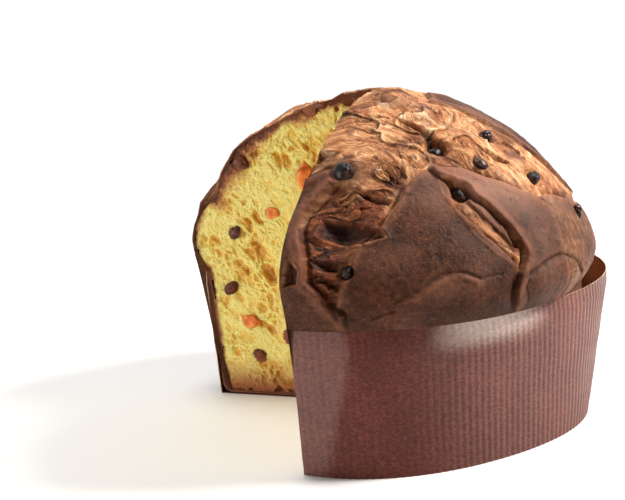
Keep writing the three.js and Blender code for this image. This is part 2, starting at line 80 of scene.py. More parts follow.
# Where the loaf has shrunk from the case: azimuth, width, share at the rim, and distance inside the case
SHRINK = (88, 38, 0.055, 11.5)
LOAF_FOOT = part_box("loaf")[0].z / MM
SIDE_ROOM = 1.55
SHELF = 0.4
# Height over the rim where the crust's relief is full
RIM_FADE = 9

# The missing wedge
NEAR_CUT = -29
FAR_CUT = 250
CUT_TIP = np.array([-3.8, -1.4])

# Smooth skin flaps left between the torn cuts, as [azimuth, height]
SHIELD = [
    [13, 130], [14.5, 122], [15, 114], [18, 108], [21, 101], [24, 95.5], [27, 90], [29.5, 83], [30, 78],
    [30, 60], [-16, 60], [-16.4, 69], [-16.2, 76], [-15.4, 83], [-14, 90], [-12.6, 95], [-11, 100], [-9, 103],
    [-4, 111], [-1, 116], [2, 122],
]
EAR = [
    [-16.7, 127.3], [-21.2, 124.8], [-24.4, 119.4], [-26.2, 113.9], [-26.4, 107.6], [-24.9, 101], [-23.8, 94],
    [-23.4, 87.5], [-21.9, 85.4], [-20.1, 83.4], [-18.9, 79.6], [-17.4, 76.4], [-15.4, 73.8], [-14, 60],
    [-60, 60], [-60, 122], [-40, 124], [-30, 127], [-22, 130],
]
BAND = [
    [13, 128.8], [24, 125.6], [33, 119.6], [40, 114.4], [44.5, 110.5], [48, 106], [46.5, 96], [45, 87],
    [44.5, 78], [44, 60], [27, 60], [27, 78], [28.5, 84.5], [31, 88.5], [31.9, 92.4], [31.4, 98.2],
    [29.2, 105.2], [26.5, 111.7], [22, 119.1], [17.4, 123.2], [14, 126.6],
]
RUBBED = [
    [42, 112], [54, 111], [62, 106], [72, 102], [84, 98], [92, 90], [96, 78], [97, 60], [42, 60],
]
STRIP = [
    [16.5, 123.2], [21.6, 118.6], [26, 111.2], [28.6, 105], [30.6, 98], [30.9, 91.5], [29, 95], [26.6, 102],
    [23.6, 109], [19.8, 116.8],
]
CREST = [
    [50, 153], [60, 148], [66, 141], [70, 132], [73, 122], [77, 111], [86, 102], [108, 108], [112, 125],
    [108, 140], [100, 150], [78, 155],
]


def petal_outline(middle, half_width, side_height, top_height):
    """Outline of a flap that rises from the rim to a rounded point."""
    outline = [[middle - half_width, 60]]
    steps = 8
    for i in range(steps + 1):
        across = 2 * i / steps - 1
        arch = max(0.0, math.cos(across * math.pi / 2)) ** 0.7
        outline.append([middle + across * half_width, side_height + (top_height - side_height) * arch])
    return outline + [[middle + half_width, 60]]


# Each flap: outline, how far it stands over the torn dough, its rolled lip, the lip's half width, how far the
# lip overhangs, how deep the dough is undercut beside it, and how whole its skin is
FLAPS = {
    "crest": (CREST, 0.6, 0.7, 1.2, 0.5, 0.9, 1.0),
    "rubbed": (RUBBED, 0.3, 0.3, 1.0, 0.2, 0.4, 0.75),
    "strip": (STRIP, -0.9, 0.3, 0.8, 0.3, 0.5, 1.0),
    "shield": (SHIELD, 0.9, 0.45, 1.0, 0.4, 0.8, 1.0),
    "ear": (EAR, 0.5, 1.8, 1.8, 0.7, 1.5, 1.0),
    "band": (BAND, 0.9, 0.6, 1.5, 0.7, 1.2, 1.0),
    "back": (petal_outline(134, 33, 90, 128), 0.8, 1.5, 1.6, 0.7, 1.3, 1.0),
    "left": (petal_outline(-142, 37, 92, 137), 0.8, 1.4, 1.6, 0.7, 1.3, 1.0),
}
# Cracks, creases and, where the depth is below nothing, raised folds: points, depth and half width
CRACKS = [
    ([[16, 124], [21.4, 119.4], [26, 111.9], [28.8, 105.3], [31, 98.3], [31.4, 92.4], [30, 88]], 1.5, 0.6),
    ([[30.5, 83], [29, 79], [30.3, 71], [30, 67]], 0.8, 0.6),
    ([[-18.4, 78.6], [-17, 75.8], [-16, 73], [-15.4, 69]], 1.6, 0.7),
    ([[19, 117.4], [23, 109.6], [26, 102.6], [28.6, 95.4]], 0.9, 0.5),
    ([[17.6, 112], [20.4, 105], [23.4, 98.6]], 0.7, 0.5),
    ([[9.6, 132.6], [12.4, 133.2], [14.8, 132.1]], -1.1, 1.0),
    ([[-18.2, 145.4], [-10.9, 144.1], [-4.9, 142.7]], 0.8, 0.5),
    ([[2.1, 136.4], [2.8, 132.7], [2.1, 128.3], [0.4, 125.5]], 1.0, 0.5),
    ([[13, 127], [12.6, 119], [15.4, 110], [18.6, 101], [22, 94.5], [26, 88.5]], -0.45, 0.6),
    ([[-13.3, 79.6], [-13.4, 76.4], [-13, 73.8], [-11.6, 71.9], [-9.6, 71.7], [-7.6, 73.9], [-3.3, 76]],
     1.3, 0.6),
    ([[-2.6, 80.6], [1.3, 83.1], [6.6, 87.9], [10, 89.4], [13.6, 88.6], [17.2, 85.4], [22.6, 85.6]], 1, 0.7),
    ([[-0.6, 79.6], [3, 81.8], [8, 86.4], [12, 87.4], [17, 83.6]], -0.4, 1.2),
    ([[31, 83.5], [36, 86.4], [41, 87.6], [45, 87.2], [50, 83], [54, 76]], 1.7, 0.8),
    ([[56, 152], [66, 146], [72, 137], [76, 126], [80, 114]], 1.3, 0.8),
    ([[62, 154], [74, 149], [80, 140], [85, 128], [90, 113]], 1.5, 0.9),
    ([[172, 130], [178, 116], [181, 100], [180, 84], [181, 74]], 4.0, 1.8),
    ([[90, 110], [97, 100], [99, 88], [100, 76]], 3.4, 1.6),
    ([[120, 132], [135, 140], [150, 146]], 4.0, 1.8),
]
# Torn pockets: outline, depth, how far in the full depth is reached, and darkness of the painted shade in them
POCKETS = [
    ([[-27.4, 98], [-28.6, 92.3], [-28.3, 86], [-24.8, 87.2], [-24.7, 92.5]], 4.5, 1.8, 1.0),
    ([[-21.5, 112.5], [-16, 112.6], [-10, 110.8], [-5, 107.5], [-4, 104.5], [-9, 102.6], [-17, 104],
      [-22, 106]], 2.8, 2.0, 0.85),
    ([[-14, 124], [-8, 122.5], [-2, 118.5], [-3, 117], [-10, 120]], 2.2, 1.2, 0.6),
    ([[-22.5, 96.5], [-16, 97], [-12, 94], [-13, 91], [-20, 92.5]], 2.4, 2.0, 0.55),
    ([[-21, 89], [-17, 90.5], [-14.6, 87], [-16, 84.5]], 1.8, 1.4, 0.5),
    ([[14, 126], [18, 123.4], [19.6, 121], [15.6, 121.4]], 1.8, 0.9, 0.8),
    ([[28, 104], [30, 101], [30.8, 95], [29.2, 94.6]], 1.6, 0.8, 0.9),
    ([[6, 149], [12.5, 147.8], [17.6, 145.8], [20.8, 141.4], [20.8, 138], [17.4, 137], [15.6, 141],
      [13, 144.6]], 3.2, 1.1, 0.9),
    ([[36, 131], [40, 128], [46, 126], [44, 130], [38, 133]], 1.8, 1.2, 0.5),
    ([[-40, 134], [-30, 137], [-20, 137], [-24, 133.5], [-34, 132]], 1.8, 1.3, 0.55),
]
# Swells of the flaps and hollows of the torn dough: azimuth, height, half width, half height, depth
SWELLS = [
    (-128, 130, 38, 13, -7), (-122, 146, 40, 8, -3), (-33, 99, 20, 16, -4.5), (88, 104, 36, 24, 1.6),
    (39, 79, 9, 6, -1.6), (-10.5, 76, 2.6, 3.4, -1.1),
]
HOLLOWS = [
    (-17, 101, 7, 18, 5), (-13, 108.5, 7, 4.5, 2), (24, 108, 5, 15, 0.3), (99, 96, 6, 22, 3),
    (181, 98, 6, 24, 4),
]
# Where the torn dough is painted darkest, as browning and as painted shade in the recess under the ear, the
# fissure beside the band and the grooves: azimuth, half width, height of its upper end, fade and amount
BURNT_AND_SHADED = [
    (-14, 13, 116, 10, 0.55), (-20, 6, 130, 4, 0.8), (24, 8, 121, 6, 0.3), (74, 27, 112, 7, 0.6),
    (99, 10, 120, 12, 0.5), (181, 9, 124, 12, 0.5),
]
# Smeared patches of thin skin on the torn dough: azimuth, height, half width, half height, strength
SMEARS = [
    (1, 154.5, 11, 1.8, 1), (-19.4, 144.7, 4, 2.2, 1), (-17, 132, 7, 4, 0.9), (16, 154, 9, 1.6, 1),
    (34, 143, 5, 2.4, 1), (52, 128, 4, 4, 1), (4, 139, 3.4, 2, 1), (150, 140, 10, 3, 1),
    (-160, 148, 12, 2, 1),
]


# Plain mathematics


def smooth(low, high, value):
    t = np.clip((value - low) / (high - low), 0, 1)
    return t * t * (3 - 2 * t)


def hump(value, middle, width):
    return np.exp(-(((value - middle) / width) ** 2))


def bell(azimuth, middle, width):
    return hump((azimuth - middle + 180) % 360 - 180, 0, width)


def heading(azimuth):
    a = np.radians(azimuth)
    return np.stack([np.sin(a), -np.cos(a)], axis=-1)


def azimuth_of(spot):
    return np.degrees(np.arctan2(spot[..., 0], -spot[..., 1]))


def lattice(x, y, z):
    value = np.sin(x * 127.1 + y * 311.7 + z * 74.7) * 43758.5453
    return value - np.floor(value)


def noise(x, y, z):
    """Smooth noise from -1 to 1."""
    x, y, z = np.broadcast_arrays(np.asarray(x, float), y, z)
    cell = [np.floor(c) for c in (x, y, z)]
    part = [c - f for c, f in zip((x, y, z), cell)]
    part = [t * t * (3 - 2 * t) for t in part]
    total = 0.0
    for corner in range(8):
        step = [corner & 1, corner >> 1 & 1, corner >> 2 & 1]
        weight = 1.0
        for s, t in zip(step, part):
            weight = weight * (t if s else 1 - t)
        total = total + weight * lattice(*(c + s for c, s in zip(cell, step)))
    return 2 * total - 1


def spotted(x, y, z):
    """The noise over a place, by the size of its spots and how far they are moved on."""
    def spots(size, dx=0.0, dy=0.0, dz=0.0, tall=None):
        return noise(x / size + dx, y / size + dy, z / (tall or size) + dz)
    return spots


def fractal(x, y, z, octaves):
    total, weight = 0.0, 1.0
    for k in range(octaves):
        scale = 2.0 ** k
        total = total + weight * noise(x * scale + 5.3 * k, y * scale - 2.7 * k, z * scale + 9.1 * k)
        weight *= 0.5
    return total


def fibre(u, v, angle, length, width, seed):
    """Noise drawn out along an angle that may change slowly from place to place."""
    total, norm = 0.0, 0.0
    for k in range(4):
        turn = math.radians(45 * k)
        weight = np.maximum(0, np.cos(2 * (np.radians(angle) - turn))) ** 2
        along = (u * math.cos(turn) + v * math.sin(turn)) / length
        across = (v * math.cos(turn) - u * math.sin(turn)) / width
        total = total + weight * noise(along + 3.7 * k, across, seed + 7.3 * k)
        norm = norm + weight * weight
    return total / np.sqrt(norm + 1e-6)


# The loaf's plain form


def plan_radius(azimuth):
    share = 1.0
    for order, cosine, sine in OUT_OF_ROUND:
        a = np.radians(azimuth) * order
        share = share + cosine * np.cos(a) + sine * np.sin(a)
    return MOULD_RADIUS * share


def case_radius(azimuth, z):
    base = BASE_SHARE - FLARE[2] * bell(azimuth, FLARE[0], FLARE[1])
    return plan_radius(azimuth) * (base + (1 - base) * z / CASE_HEIGHT)


def side_radius(azimuth, z):
    shrunk = SHRINK[3] * bell(azimuth, SHRINK[0], SHRINK[1]) * z / CASE_HEIGHT
    return case_radius(azimuth, z) - SIDE_ROOM - shrunk


def dome_radius(azimuth, z):
    shoulder = SHOULDER_RADIUS + SHOULDER_LEAN * np.cos(np.radians(azimuth - LEAN_AZIMUTH))
    rise = np.clip((z - SHOULDER_HEIGHT) / (LOAF_HEIGHT - SHOULDER_HEIGHT), 0, 1)
    dome = shoulder * (1 - rise ** (2 / DOME_FLAT)) ** (DOME_ROUND / 2)
    drop = (SHOULDER_HEIGHT - z) / (SHOULDER_HEIGHT - CASE_HEIGHT)
    share = RIM_SHARE - SHRINK[2] * bell(azimuth, SHRINK[0], SHRINK[1])
    return np.where(z >= SHOULDER_HEIGHT, dome, shoulder * (1 - (1 - share) * drop * drop))


def dome_height(angle):
    return SHOULDER_HEIGHT + (LOAF_HEIGHT - SHOULDER_HEIGHT) * np.sin(angle) ** DOME_FLAT


MERIDIAN_ANGLE = np.linspace(math.pi / 2, 0, 241)
MERIDIAN_Z = dome_height(MERIDIAN_ANGLE)
MERIDIAN_R = SHOULDER_RADIUS * np.maximum(0, np.cos(MERIDIAN_ANGLE)) ** DOME_ROUND
MERIDIAN_ARC = np.concatenate([[0], np.cumsum(np.hypot(np.diff(MERIDIAN_Z), np.diff(MERIDIAN_R)))])
SHOULDER_ARC = MERIDIAN_ARC[-1]


def arc_at(z):
    above = np.interp(-np.minimum(z, LOAF_HEIGHT), -MERIDIAN_Z, MERIDIAN_ARC)
    return np.where(z < SHOULDER_HEIGHT, SHOULDER_ARC + SHOULDER_HEIGHT - z, above)


def chart(azimuth, z):
    """A flat chart of the dome that keeps shapes true, with the apex at its middle."""
    reach = np.tan(arc_at(z) / SHOULDER_ARC * (math.pi / 4))
    return heading(azimuth) * np.asarray(reach)[..., None]


def chart_line(points, closed):
    ends = points + points[:1] if closed else points
    line = []
    for (a0, z0), (a1, z1) in zip(ends, ends[1:]):
        steps = max(1, math.ceil(abs(a1 - a0) / 6))
        for k in range(steps):
            line.append(chart(a0 + (a1 - a0) * k / steps, z0 + (z1 - z0) * k / steps))
    if not closed:
        line.append(chart(*ends[-1]))
    return np.array(line)


def nearest_on(points, line, closed):
    """Distance from each point to a line in the chart, and the nearest point of the line."""
    ends = np.roll(line, -1, axis=0) if closed else line[1:]
    best = np.full(len(points), np.inf)
    near = np.zeros_like(points)
    for a, b in zip(line, ends):
        along = b - a
        t = np.clip((points - a) @ along / max(along @ along, 1e-12), 0, 1)
        foot = a + t[:, None] * along
        away = np.hypot(*(points - foot).T)
        closer = away < best
        best[closer] = away[closer]
        near[closer] = foot[closer]
    return best, near


def inside(points, line):
    odd = np.zeros(len(points), bool)
    for a, b in zip(line, np.roll(line, -1, axis=0)):
        spans = (a[1] > points[:, 1]) != (b[1] > points[:, 1])
        if spans.any():
            cross = a[0] + (b[0] - a[0]) * (points[:, 1] - a[1]) / (b[1] - a[1] + 1e-15)
            odd ^= spans & (points[:, 0] < cross)
    return odd


def pushed(places, azimuth, z):
    """Sum of soft round pushes, each with its azimuth, height, half width, half height and depth."""
    depth = 0.0
    for middle, height, width, tall, push in places:
        depth = depth + push * bell(azimuth, middle, width) * hump(z, height, tall)
    return depth


# The crust's surface


# Millimetres on the crust for each unit of its flat chart
CHART_SPREAD = 130
# Height of the crust's bumps as a share of their width
SQUAT = 0.7
# Length, width and seed of the torn dough's sheets, folds, strands and threads
FIBRES = ((30, 10, 1.0), (15, 4.6, 2.0), (9, 1.5, 3.0), (4.5, 0.8, 4.0))


def torn_dough(spots, u, v, azimuth):
    """Height and paleness of the torn dough, a painted shadow just behind its torn edges and in its creases,
    and its flow.
    """
    angle = -12 - 48 * smooth(-22, 28, azimuth) + 40 * smooth(44, 80, azimuth)
    u = u + 5.0 * spots(23, dz=4) + 1.2 * spots(6)
    v = v + 5.0 * spots(23, dx=8) + 1.2 * spots(6, dy=5)
    sheets, folds, strands, threads = (fibre(u, v, angle, *size) for size in FIBRES)
    phase = (1.5 * sheets + 0.55 * folds) % 1
    flake_phase = (2.1 * folds + 0.8 * fibre(u, v, angle, 7, 2.4, 5.0)) % 1
    ledge, flake = phase ** 3, flake_phase ** 3
    torn = 0.35 + 0.95 * smooth(-0.3, 0.5, spots(19, dx=9))
    crease = hump(fibre(u, v, angle, 16, 3.4, 6.0), 0, 0.07) * smooth(-0.1, 0.35, spots(8, dx=60))
    height = 0.9 * sheets + 0.4 * folds + 1.0 * torn * (ledge - 0.3) + 0.6 * torn * (flake - 0.3)
    height += 0.2 * strands + 0.12 * threads - 0.5 * crease
    pale = 0.5 + 0.15 * strands + 0.12 * threads + 0.22 * torn * (ledge - 0.3) + 0.14 * (flake - 0.3)
    broken = smooth(-0.25, 0.3, spots(6, dx=33))
    # Painted highlight along the upper side of each torn edge and flake
    pale += broken * (0.1 * torn * smooth(0.8, 0.97, phase) + 0.12 * smooth(0.8, 0.96, flake_phase))
    # Painted shadow just behind each torn edge and flake, and in the thin creases
    behind = np.maximum(torn * smooth(0.2, 0.03, phase), 0.8 * smooth(0.2, 0.03, flake_phase))
    behind = np.maximum(behind * (0.3 + 0.7 * broken), crease)
    a = np.radians(angle)
    return height, pale, behind, (u * np.cos(a) + v * np.sin(a), v * np.cos(a) - u * np.sin(a))


def skin_detail(x, y, z):
    """Height of the smooth skin's own unevenness, and its small dark pits."""
    spots = spotted(x, y, z)
    waves = 0.34 * spots(9, tall=7) + 0.1 * fractal(x / 2.6, y / 2.6, z / 2.6, 2)
    pits = smooth(0.5, 0.8, spots(2.3, dy=31))
    return waves + 0.2 * smooth(0.45, 0.75, spots(3.4, dx=20)) - 0.2 * pits, pits


class Crust:
    """Relief of the crust over the plain dome, how far its lips slide, and what its colours depend on."""

    def __init__(self, azimuth, z):
        self.point = chart(azimuth, z)
        radius = np.maximum(dome_radius(azimuth, z), 1)
        self.scale = radius / np.maximum(np.hypot(*self.point.T), 0.01)
        x, y = (radius[:, None] * heading(azimuth)).T
        self.u, self.v = (CHART_SPREAD * self.point).T
        self.spots = spots = spotted(x, y, z)
        turned = (azimuth + 180) % 360 - 180
        dough, self.pale, behind, flow = torn_dough(spots, self.u, self.v, turned)
        self.plain = -0.4 - 1.2 * (1 - smooth(116, 138, z))
        rolling = spots(17, tall=SQUAT * 17) + 0.5 * spots(8.5, tall=SQUAT * 8.5)
        height = self.plain + 1.9 * rolling + dough - pushed(HOLLOWS, azimuth, z)
        patch = pushed(SMEARS, turned, z) + 0.8 * smooth(0.3, 0.6, spots(9, dx=70, tall=7))
        patch = smooth(0.35, 0.65, patch + 0.3 * spots(2.6, dz=20)) * smooth(96, 106, z)
        self.height = height * (1 - 0.3 * patch) + 0.2 * patch
        self.skin = 0.5 * patch
        # Painted shade: behind torn edges and in creases, then beside and under the flaps' lips, in cracks and
        # in pockets
        self.dark = 0.72 * behind
        self.slide = np.zeros_like(self.point)
        self.rolled, self.steep = np.zeros_like(z), np.zeros_like(z)
        self.wobble = 0.9 * spots(7) + 0.22 * spots(2.8)
        self.detail, pits = skin_detail(x, y, z)
        for flap in FLAPS.values():
            self.lay_flap(*flap)
        for crack in CRACKS:
            self.crack(*crack)
        for pocket in POCKETS:
            self.tear_pocket(*pocket)
        self.height -= pushed(SWELLS, azimuth, z)
        burn = 0.75 * smooth(0.0, 0.6, spots(11, dx=40, tall=8))
        burn += 0.35 * smooth(0.1, 0.7, spots(4.5, tall=SQUAT * 4.5))
        # Painted shade in the listed recesses and grooves, added to the random browning
        for middle, width, top, fade, amount in BURNT_AND_SHADED:
            burn += amount * bell(azimuth, middle, width) * smooth(top + fade, top - fade, z)
        self.burn = np.clip(burn, 0, 1)
        self.rim = smooth(CASE_HEIGHT + SHELF, CASE_HEIGHT + RIM_FADE, z)
        self.height = self.height * self.rim
        self.slide = self.slide * self.rim[:, None]
        self.pale = np.clip(self.pale, 0, 1)
        self.pits = pits * self.skin
        # Painted sheen on the upper skin that faces the key light, with random pale patches
        sheen_and_bloom = bell(turned, 38, 26) * smooth(99, 121, z) + 0.25 * spots(15, dy=9, tall=12)
        self.sheen_and_bloom = np.clip(sheen_and_bloom, 0, 1)
        self.along, self.across = flow
        self.sheets = dough
        self.free = self.rim * (1 - 0.85 * self.steep)

    def depth_inside(self, outline):
        """How far points lie inside an outline, where they do, and the nearest point of its line."""
        line = chart_line(outline, True)
        away, near = nearest_on(self.point, line, True)
        within = inside(self.point, line)
        return np.where(within, away, -away) * self.scale, within, near

    def lay_flap(self, outline, lift, lip, lip_width, overhang, undercut, whole):
        depth, within, near = self.depth_inside(outline)
        depth = depth + self.wobble
        mask = smooth(-1.2, 0.6, depth)
        near_edge = hump(depth, 0, 2.4 + 1.8 * undercut)
        beside = near_edge * (depth < 0)
        self.steep = np.maximum(self.steep, near_edge)
        self.height += 0.85 * beside * (self.plain - self.height)
        # Painted shade in the undercut beside the flap
        dark = np.maximum(self.dark, 0.3 * undercut * beside)
        surface = lift + 0.7 * self.spots(26, tall=SQUAT * 26) + self.detail
        edge = hump(depth, lip_width, 1.3 * lip_width)
        below = hump(depth, -1.7, 1.2)
        self.height = self.height * (1 - mask) + surface * mask
        self.height += lip * edge * (0.7 + 0.6 * self.spots(13, dz=3)) - undercut * below
        outwards = (near - self.point) * np.where(within, 1, -1)[:, None]
        outwards /= np.maximum(np.hypot(*outwards.T), 1e-9)[:, None]
        self.slide += outwards * (overhang * hump(depth, 0.6, 1.5))[:, None]
        self.skin = self.skin * (1 - mask) + mask * whole
        # Painted shade under the flap's overhanging lip
        self.dark = np.maximum(dark * (1 - mask), 0.55 * below * undercut / 1.6)
        # Rolled lip, painted paler as a highlight in the material
        self.rolled = np.maximum(self.rolled * (1 - mask), edge)

    def crack(self, line, deep, width):
        away, _ = nearest_on(self.point, chart_line(line, False), False)
        away = np.abs(away * self.scale + 0.5 * self.spots(3.2, dy=50))
        fall = hump(away, 0, width) * (0.75 + 0.4 * self.spots(6, dz=50))
        self.height -= deep * fall
        # Painted shade in the crack, darker for deeper cracks
        self.dark = np.maximum(self.dark, fall * np.clip(deep / 2.6, 0, 1))
        # Raised folds get the rolled edge's painted highlight
        self.rolled = np.maximum(self.rolled, fall * (deep < 0))

    def tear_pocket(self, outline, deep, reach, darkness):
        depth = self.depth_inside(outline)[0] + 0.8 * self.wobble
        fall = smooth(-0.3, reach, depth) * (1 + 0.22 * fibre(self.u, self.v, 0 * self.u, 9, 2.2, 9.0))
        self.height += 0.5 * hump(depth, -0.8, 0.9) - deep * fall
        # Painted shade inside the pocket
        self.dark = np.maximum(self.dark, darkness * smooth(0.0, 0.75 * reach, depth))
        self.steep = np.maximum(self.steep, smooth(-1.0, 0.5, depth))
        self.skin *= 1 - smooth(-0.6, 0.4, depth)


# The crust's colour attributes, and the four values of the crust that each holds
LAYERS = {
    "bake": ("skin", "pale", "dark", "rolled"),
    "toast": ("burn", "pits", "sheen_and_bloom", "rim"),
    "flow": ("along", "across", "sheets", "free"),
}
# What the loaf's side inside the case looks like
INSIDE_CASE = {"skin": 1.0, "pale": 0.5, "burn": 0.5, "sheen_and_bloom": 0.5}
# How near a cut the middle of a piece of fruit is that lies in it
NEAR_FRUIT = 3.5
# How far over a raisin's middle the crust closes, as a share of its size: small and large ones
SEAT_SHARES = (-0.1, 0.45)


def middle_and_half(name):
    low, high = (np.array(c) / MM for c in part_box(name))
    return (low + high) / 2, (high - low) / 2


def cut_heading(cut):
    away = MOULD_RADIUS * heading(cut) - CUT_TIP
    return away / np.hypot(*away)


def in_cut_face(middle):
    """The cut face that a piece of fruit lies in and the direction into the loaf there, or nothing."""
    for cut, side in ((NEAR_CUT, 1), (FAR_CUT, -1)):
        along = cut_heading(cut)
        offset = middle[:2] - CUT_TIP
        if abs(offset[0] * along[1] - offset[1] * along[0]) < NEAR_FRUIT and offset @ along > 0:
            return cut, side * np.array([-along[1], along[0], 0.0])
    return None


# Middle and half size of each raisin that sits in the crust
SEATS = [(middle, half.mean()) for middle, half in map(middle_and_half, RAISINS) if not in_cut_face(middle)]


# Half planes through the tip of the cut


# Azimuths of the two cuts as seen from the tip
NEAR_TURN = azimuth_of(cut_heading(NEAR_CUT))
FAR_TURN = azimuth_of(cut_heading(FAR_CUT)) + 360
# A distance from the tip that is outside the loaf, and how often the search for its surface halves it
BEYOND_LOAF = 125.0
HALVINGS = 34


def reach_in_plane(turn, z, radius_at):
    """Distance from the tip to the loaf's plain surface at each height, in the half plane of each turn."""
    away = heading(turn)[:, None, :]
    low = np.zeros(np.broadcast(turn[:, None], z[None, :]).shape)
    high = np.full_like(low, BEYOND_LOAF)
    for _ in range(HALVINGS):
        middle = (low + high) / 2
        spot = CUT_TIP + middle[..., None] * away
        beyond = np.hypot(spot[..., 0], spot[..., 1]) > radius_at(azimuth_of(spot), z[None, :])
        high = np.where(beyond, middle, high)
        low = np.where(beyond, low, middle)
    return (low + high) / 2


def plain_sections(turns, count):
    """Plain dome section in each half plane, from over the tip down to the rim, at even arc lengths."""
    angles = np.linspace(0, math.pi / 2, 4000)
    over = dome_radius(azimuth_of(CUT_TIP), dome_height(angles))
    top_angle = np.interp(-math.hypot(*CUT_TIP), -over, angles)
    rim = CASE_HEIGHT + 2 * SHELF
    z = dome_height(np.linspace(top_angle, 0, 260))
    z = np.concatenate([z, np.linspace(SHOULDER_HEIGHT, rim, 24)[1:]])
    reach = reach_in_plane(turns, z, dome_radius)
    reach[:, 0] = 0
    share = np.linspace(0, 1, count)
    out = np.zeros((len(turns), count, 2))
    for i, row in enumerate(reach):
        arc = np.concatenate([[0], np.cumsum(np.hypot(np.diff(row), np.diff(z)))])
        out[i, :, 0] = np.interp(share * arc[-1], arc, row)
        out[i, :, 1] = np.interp(share * arc[-1], arc, z)
    return out


class Sections:
    """The plain dome as a table over turn and share of the way down."""

    def __init__(self):
        self.turns = np.linspace(NEAR_TURN, FAR_TURN, 260)
        self.count = 220
        self.table = plain_sections(self.turns, self.count)
        slope = np.gradient(self.table, axis=1)
        normal = np.stack([-slope[..., 1], slope[..., 0]], axis=-1)
        self.normals = normal / np.hypot(normal[..., 0], normal[..., 1])[..., None]

    def at(self, turn, share):
        """Distance and height, and their normal, at each turn and share of the way down."""
        i = (turn - self.turns[0]) / (self.turns[1] - self.turns[0])
        k = share * (self.count - 1)
        i0 = np.clip(np.floor(i).astype(int), 0, len(self.turns) - 2)
        k0 = np.clip(np.floor(k).astype(int), 0, self.count - 2)
        part_i, part_k = (i - i0)[:, None], (k - k0)[:, None]
        results = []
        for table in (self.table, self.normals):
            low = table[i0, k0] * (1 - part_k) + table[i0, k0 + 1] * part_k
            high = table[i0 + 1, k0] * (1 - part_k) + table[i0 + 1, k0 + 1] * part_k
            results.append(low * (1 - part_i) + high * part_i)
        return results


def placed(turn, flat):
    """Points of the half planes as points in space."""
    spot = CUT_TIP + flat[:, :1] * heading(turn)
    return np.column_stack([spot, flat[:, 1]])


def ring(turns, reach, z):
    return placed(turns, np.column_stack([reach, np.full(len(turns), z)]))


class MeshBuilder:
    """Collects points, triangles and colour values, and joins neighbouring rows of unequal count."""

    def __init__(self, layers):
        self.layers = layers
        self.points = []
        self.values = []
        self.faces = []
        self.count = 0

    def add(self, points, values=None):
        points = np.atleast_2d(points)
        self.points.append(points)
        self.values.append(np.zeros((len(points), 4 * len(self.layers))) if values is None else values)
        start = self.count
        self.count += len(points)
        return np.arange(start, self.count)

    def zip(self, low, high):
        """Triangles between two rows of points that run the same way."""
        i, j = 0, 0
        last_i, last_j = len(low) - 1, len(high) - 1
        while i < last_i or j < last_j:
            step_i = (i + 1) / last_i if i < last_i else 2
            step_j = (j + 1) / last_j if j < last_j else 2
            if step_i <= step_j:
                self.faces.append((low[i], high[j], low[i + 1]))
                i += 1
            else:
                self.faces.append((low[i], high[j], high[j + 1]))
                j += 1

    def result(self, name):
        values = np.concatenate(self.values)
        split = {layer: values[:, 4 * k:4 * k + 4] for k, layer in enumerate(self.layers)}
        return new_object(name, np.concatenate(self.points), np.array(self.faces), split)


def dressed(piece, material, slot, *nodes):
    """Gives a piece its material, attaches it to the root body and hides the solids of the nodes that it
    stands for; the slot is not used.
    """
    if not piece.data.materials:
        piece.data.materials.append(material)
    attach(piece, "root")
    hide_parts(*nodes)


def new_object(name, points, faces, attributes):
    """A mesh object at the origin from points in millimetres and triangles."""
    mesh = bpy.data.meshes.new(name)
    mesh.vertices.add(len(points))
    mesh.vertices.foreach_set("co", (np.asarray(points) * MM).astype(np.float32).ravel())
    mesh.loops.add(3 * len(faces))
    mesh.loops.foreach_set("vertex_index", np.asarray(faces, np.int32).ravel())
    mesh.polygons.add(len(faces))
    mesh.polygons.foreach_set("loop_start", np.arange(0, 3 * len(faces), 3, dtype=np.int32))
    mesh.update(calc_edges=True)
    mesh.validate()
    for key, values in attributes.items():
        layer = mesh.attributes.new(key, "FLOAT_COLOR", "POINT")
        layer.data.foreach_set("color", np.asarray(values, np.float32).ravel())
    mesh.shade_smooth()
    obj = bpy.data.objects.new(name, mesh)
    bpy.context.scene.collection.objects.link(obj)
    return obj


# Crust


# The crust is two pieces that meet in the groove at this turn
CRUST_JOINT = 98.0
SECTIONS = Sections()


def shaped_crust(turn, flat, normal, inward, keep):
    """Plain points of the dome with the crust's relief, and its colour values."""
    plain = placed(turn, flat)
    azimuth = azimuth_of(plain)
    surface = Crust(azimuth, plain[:, 2])
    height = surface.height * keep - inward
    edge = np.minimum(turn - NEAR_TURN, FAR_TURN - turn)
    free = smooth(0.4, 3.5, edge)
    outwards = np.column_stack([normal[:, :1] * heading(turn), normal[:, 1]])
    for middle, size in SEATS:
        offset = middle - plain
        level = (offset * outwards).sum(axis=1)
        away = np.linalg.norm(offset - level[:, None] * outwards, axis=1) / size
        closed = SEAT_SHARES[0] + (SEAT_SHARES[1] - SEAT_SHARES[0]) * float(smooth(3.6, 4.6, size))
        lift = np.minimum(keep * (level + closed * size) - inward - height, 3.0)
        seat = smooth(1.9, 0.95, away) * (np.abs(level) < 3 * size)
        height = height + seat * lift + 0.3 * keep * hump(away, 1.5, 0.4)
    points = placed(turn, flat + height[:, None] * normal)
    direction = heading(azimuth)
    sideways = np.column_stack([-direction[:, 1], direction[:, 0]])
    down, round_ = ((surface.slide * way).sum(axis=1) for way in (direction, sideways))
    across = np.column_stack([sideways, np.zeros(len(turn))])
    tangent = np.column_stack([normal[:, 1], -normal[:, 0]])
    slope = placed(turn, flat + tangent) - plain
    points += (free * keep)[:, None] * (down[:, None] * slope + round_[:, None] * across)
    values = np.column_stack([getattr(surface, key) for keys in LAYERS.values() for key in keys])
    return points, values


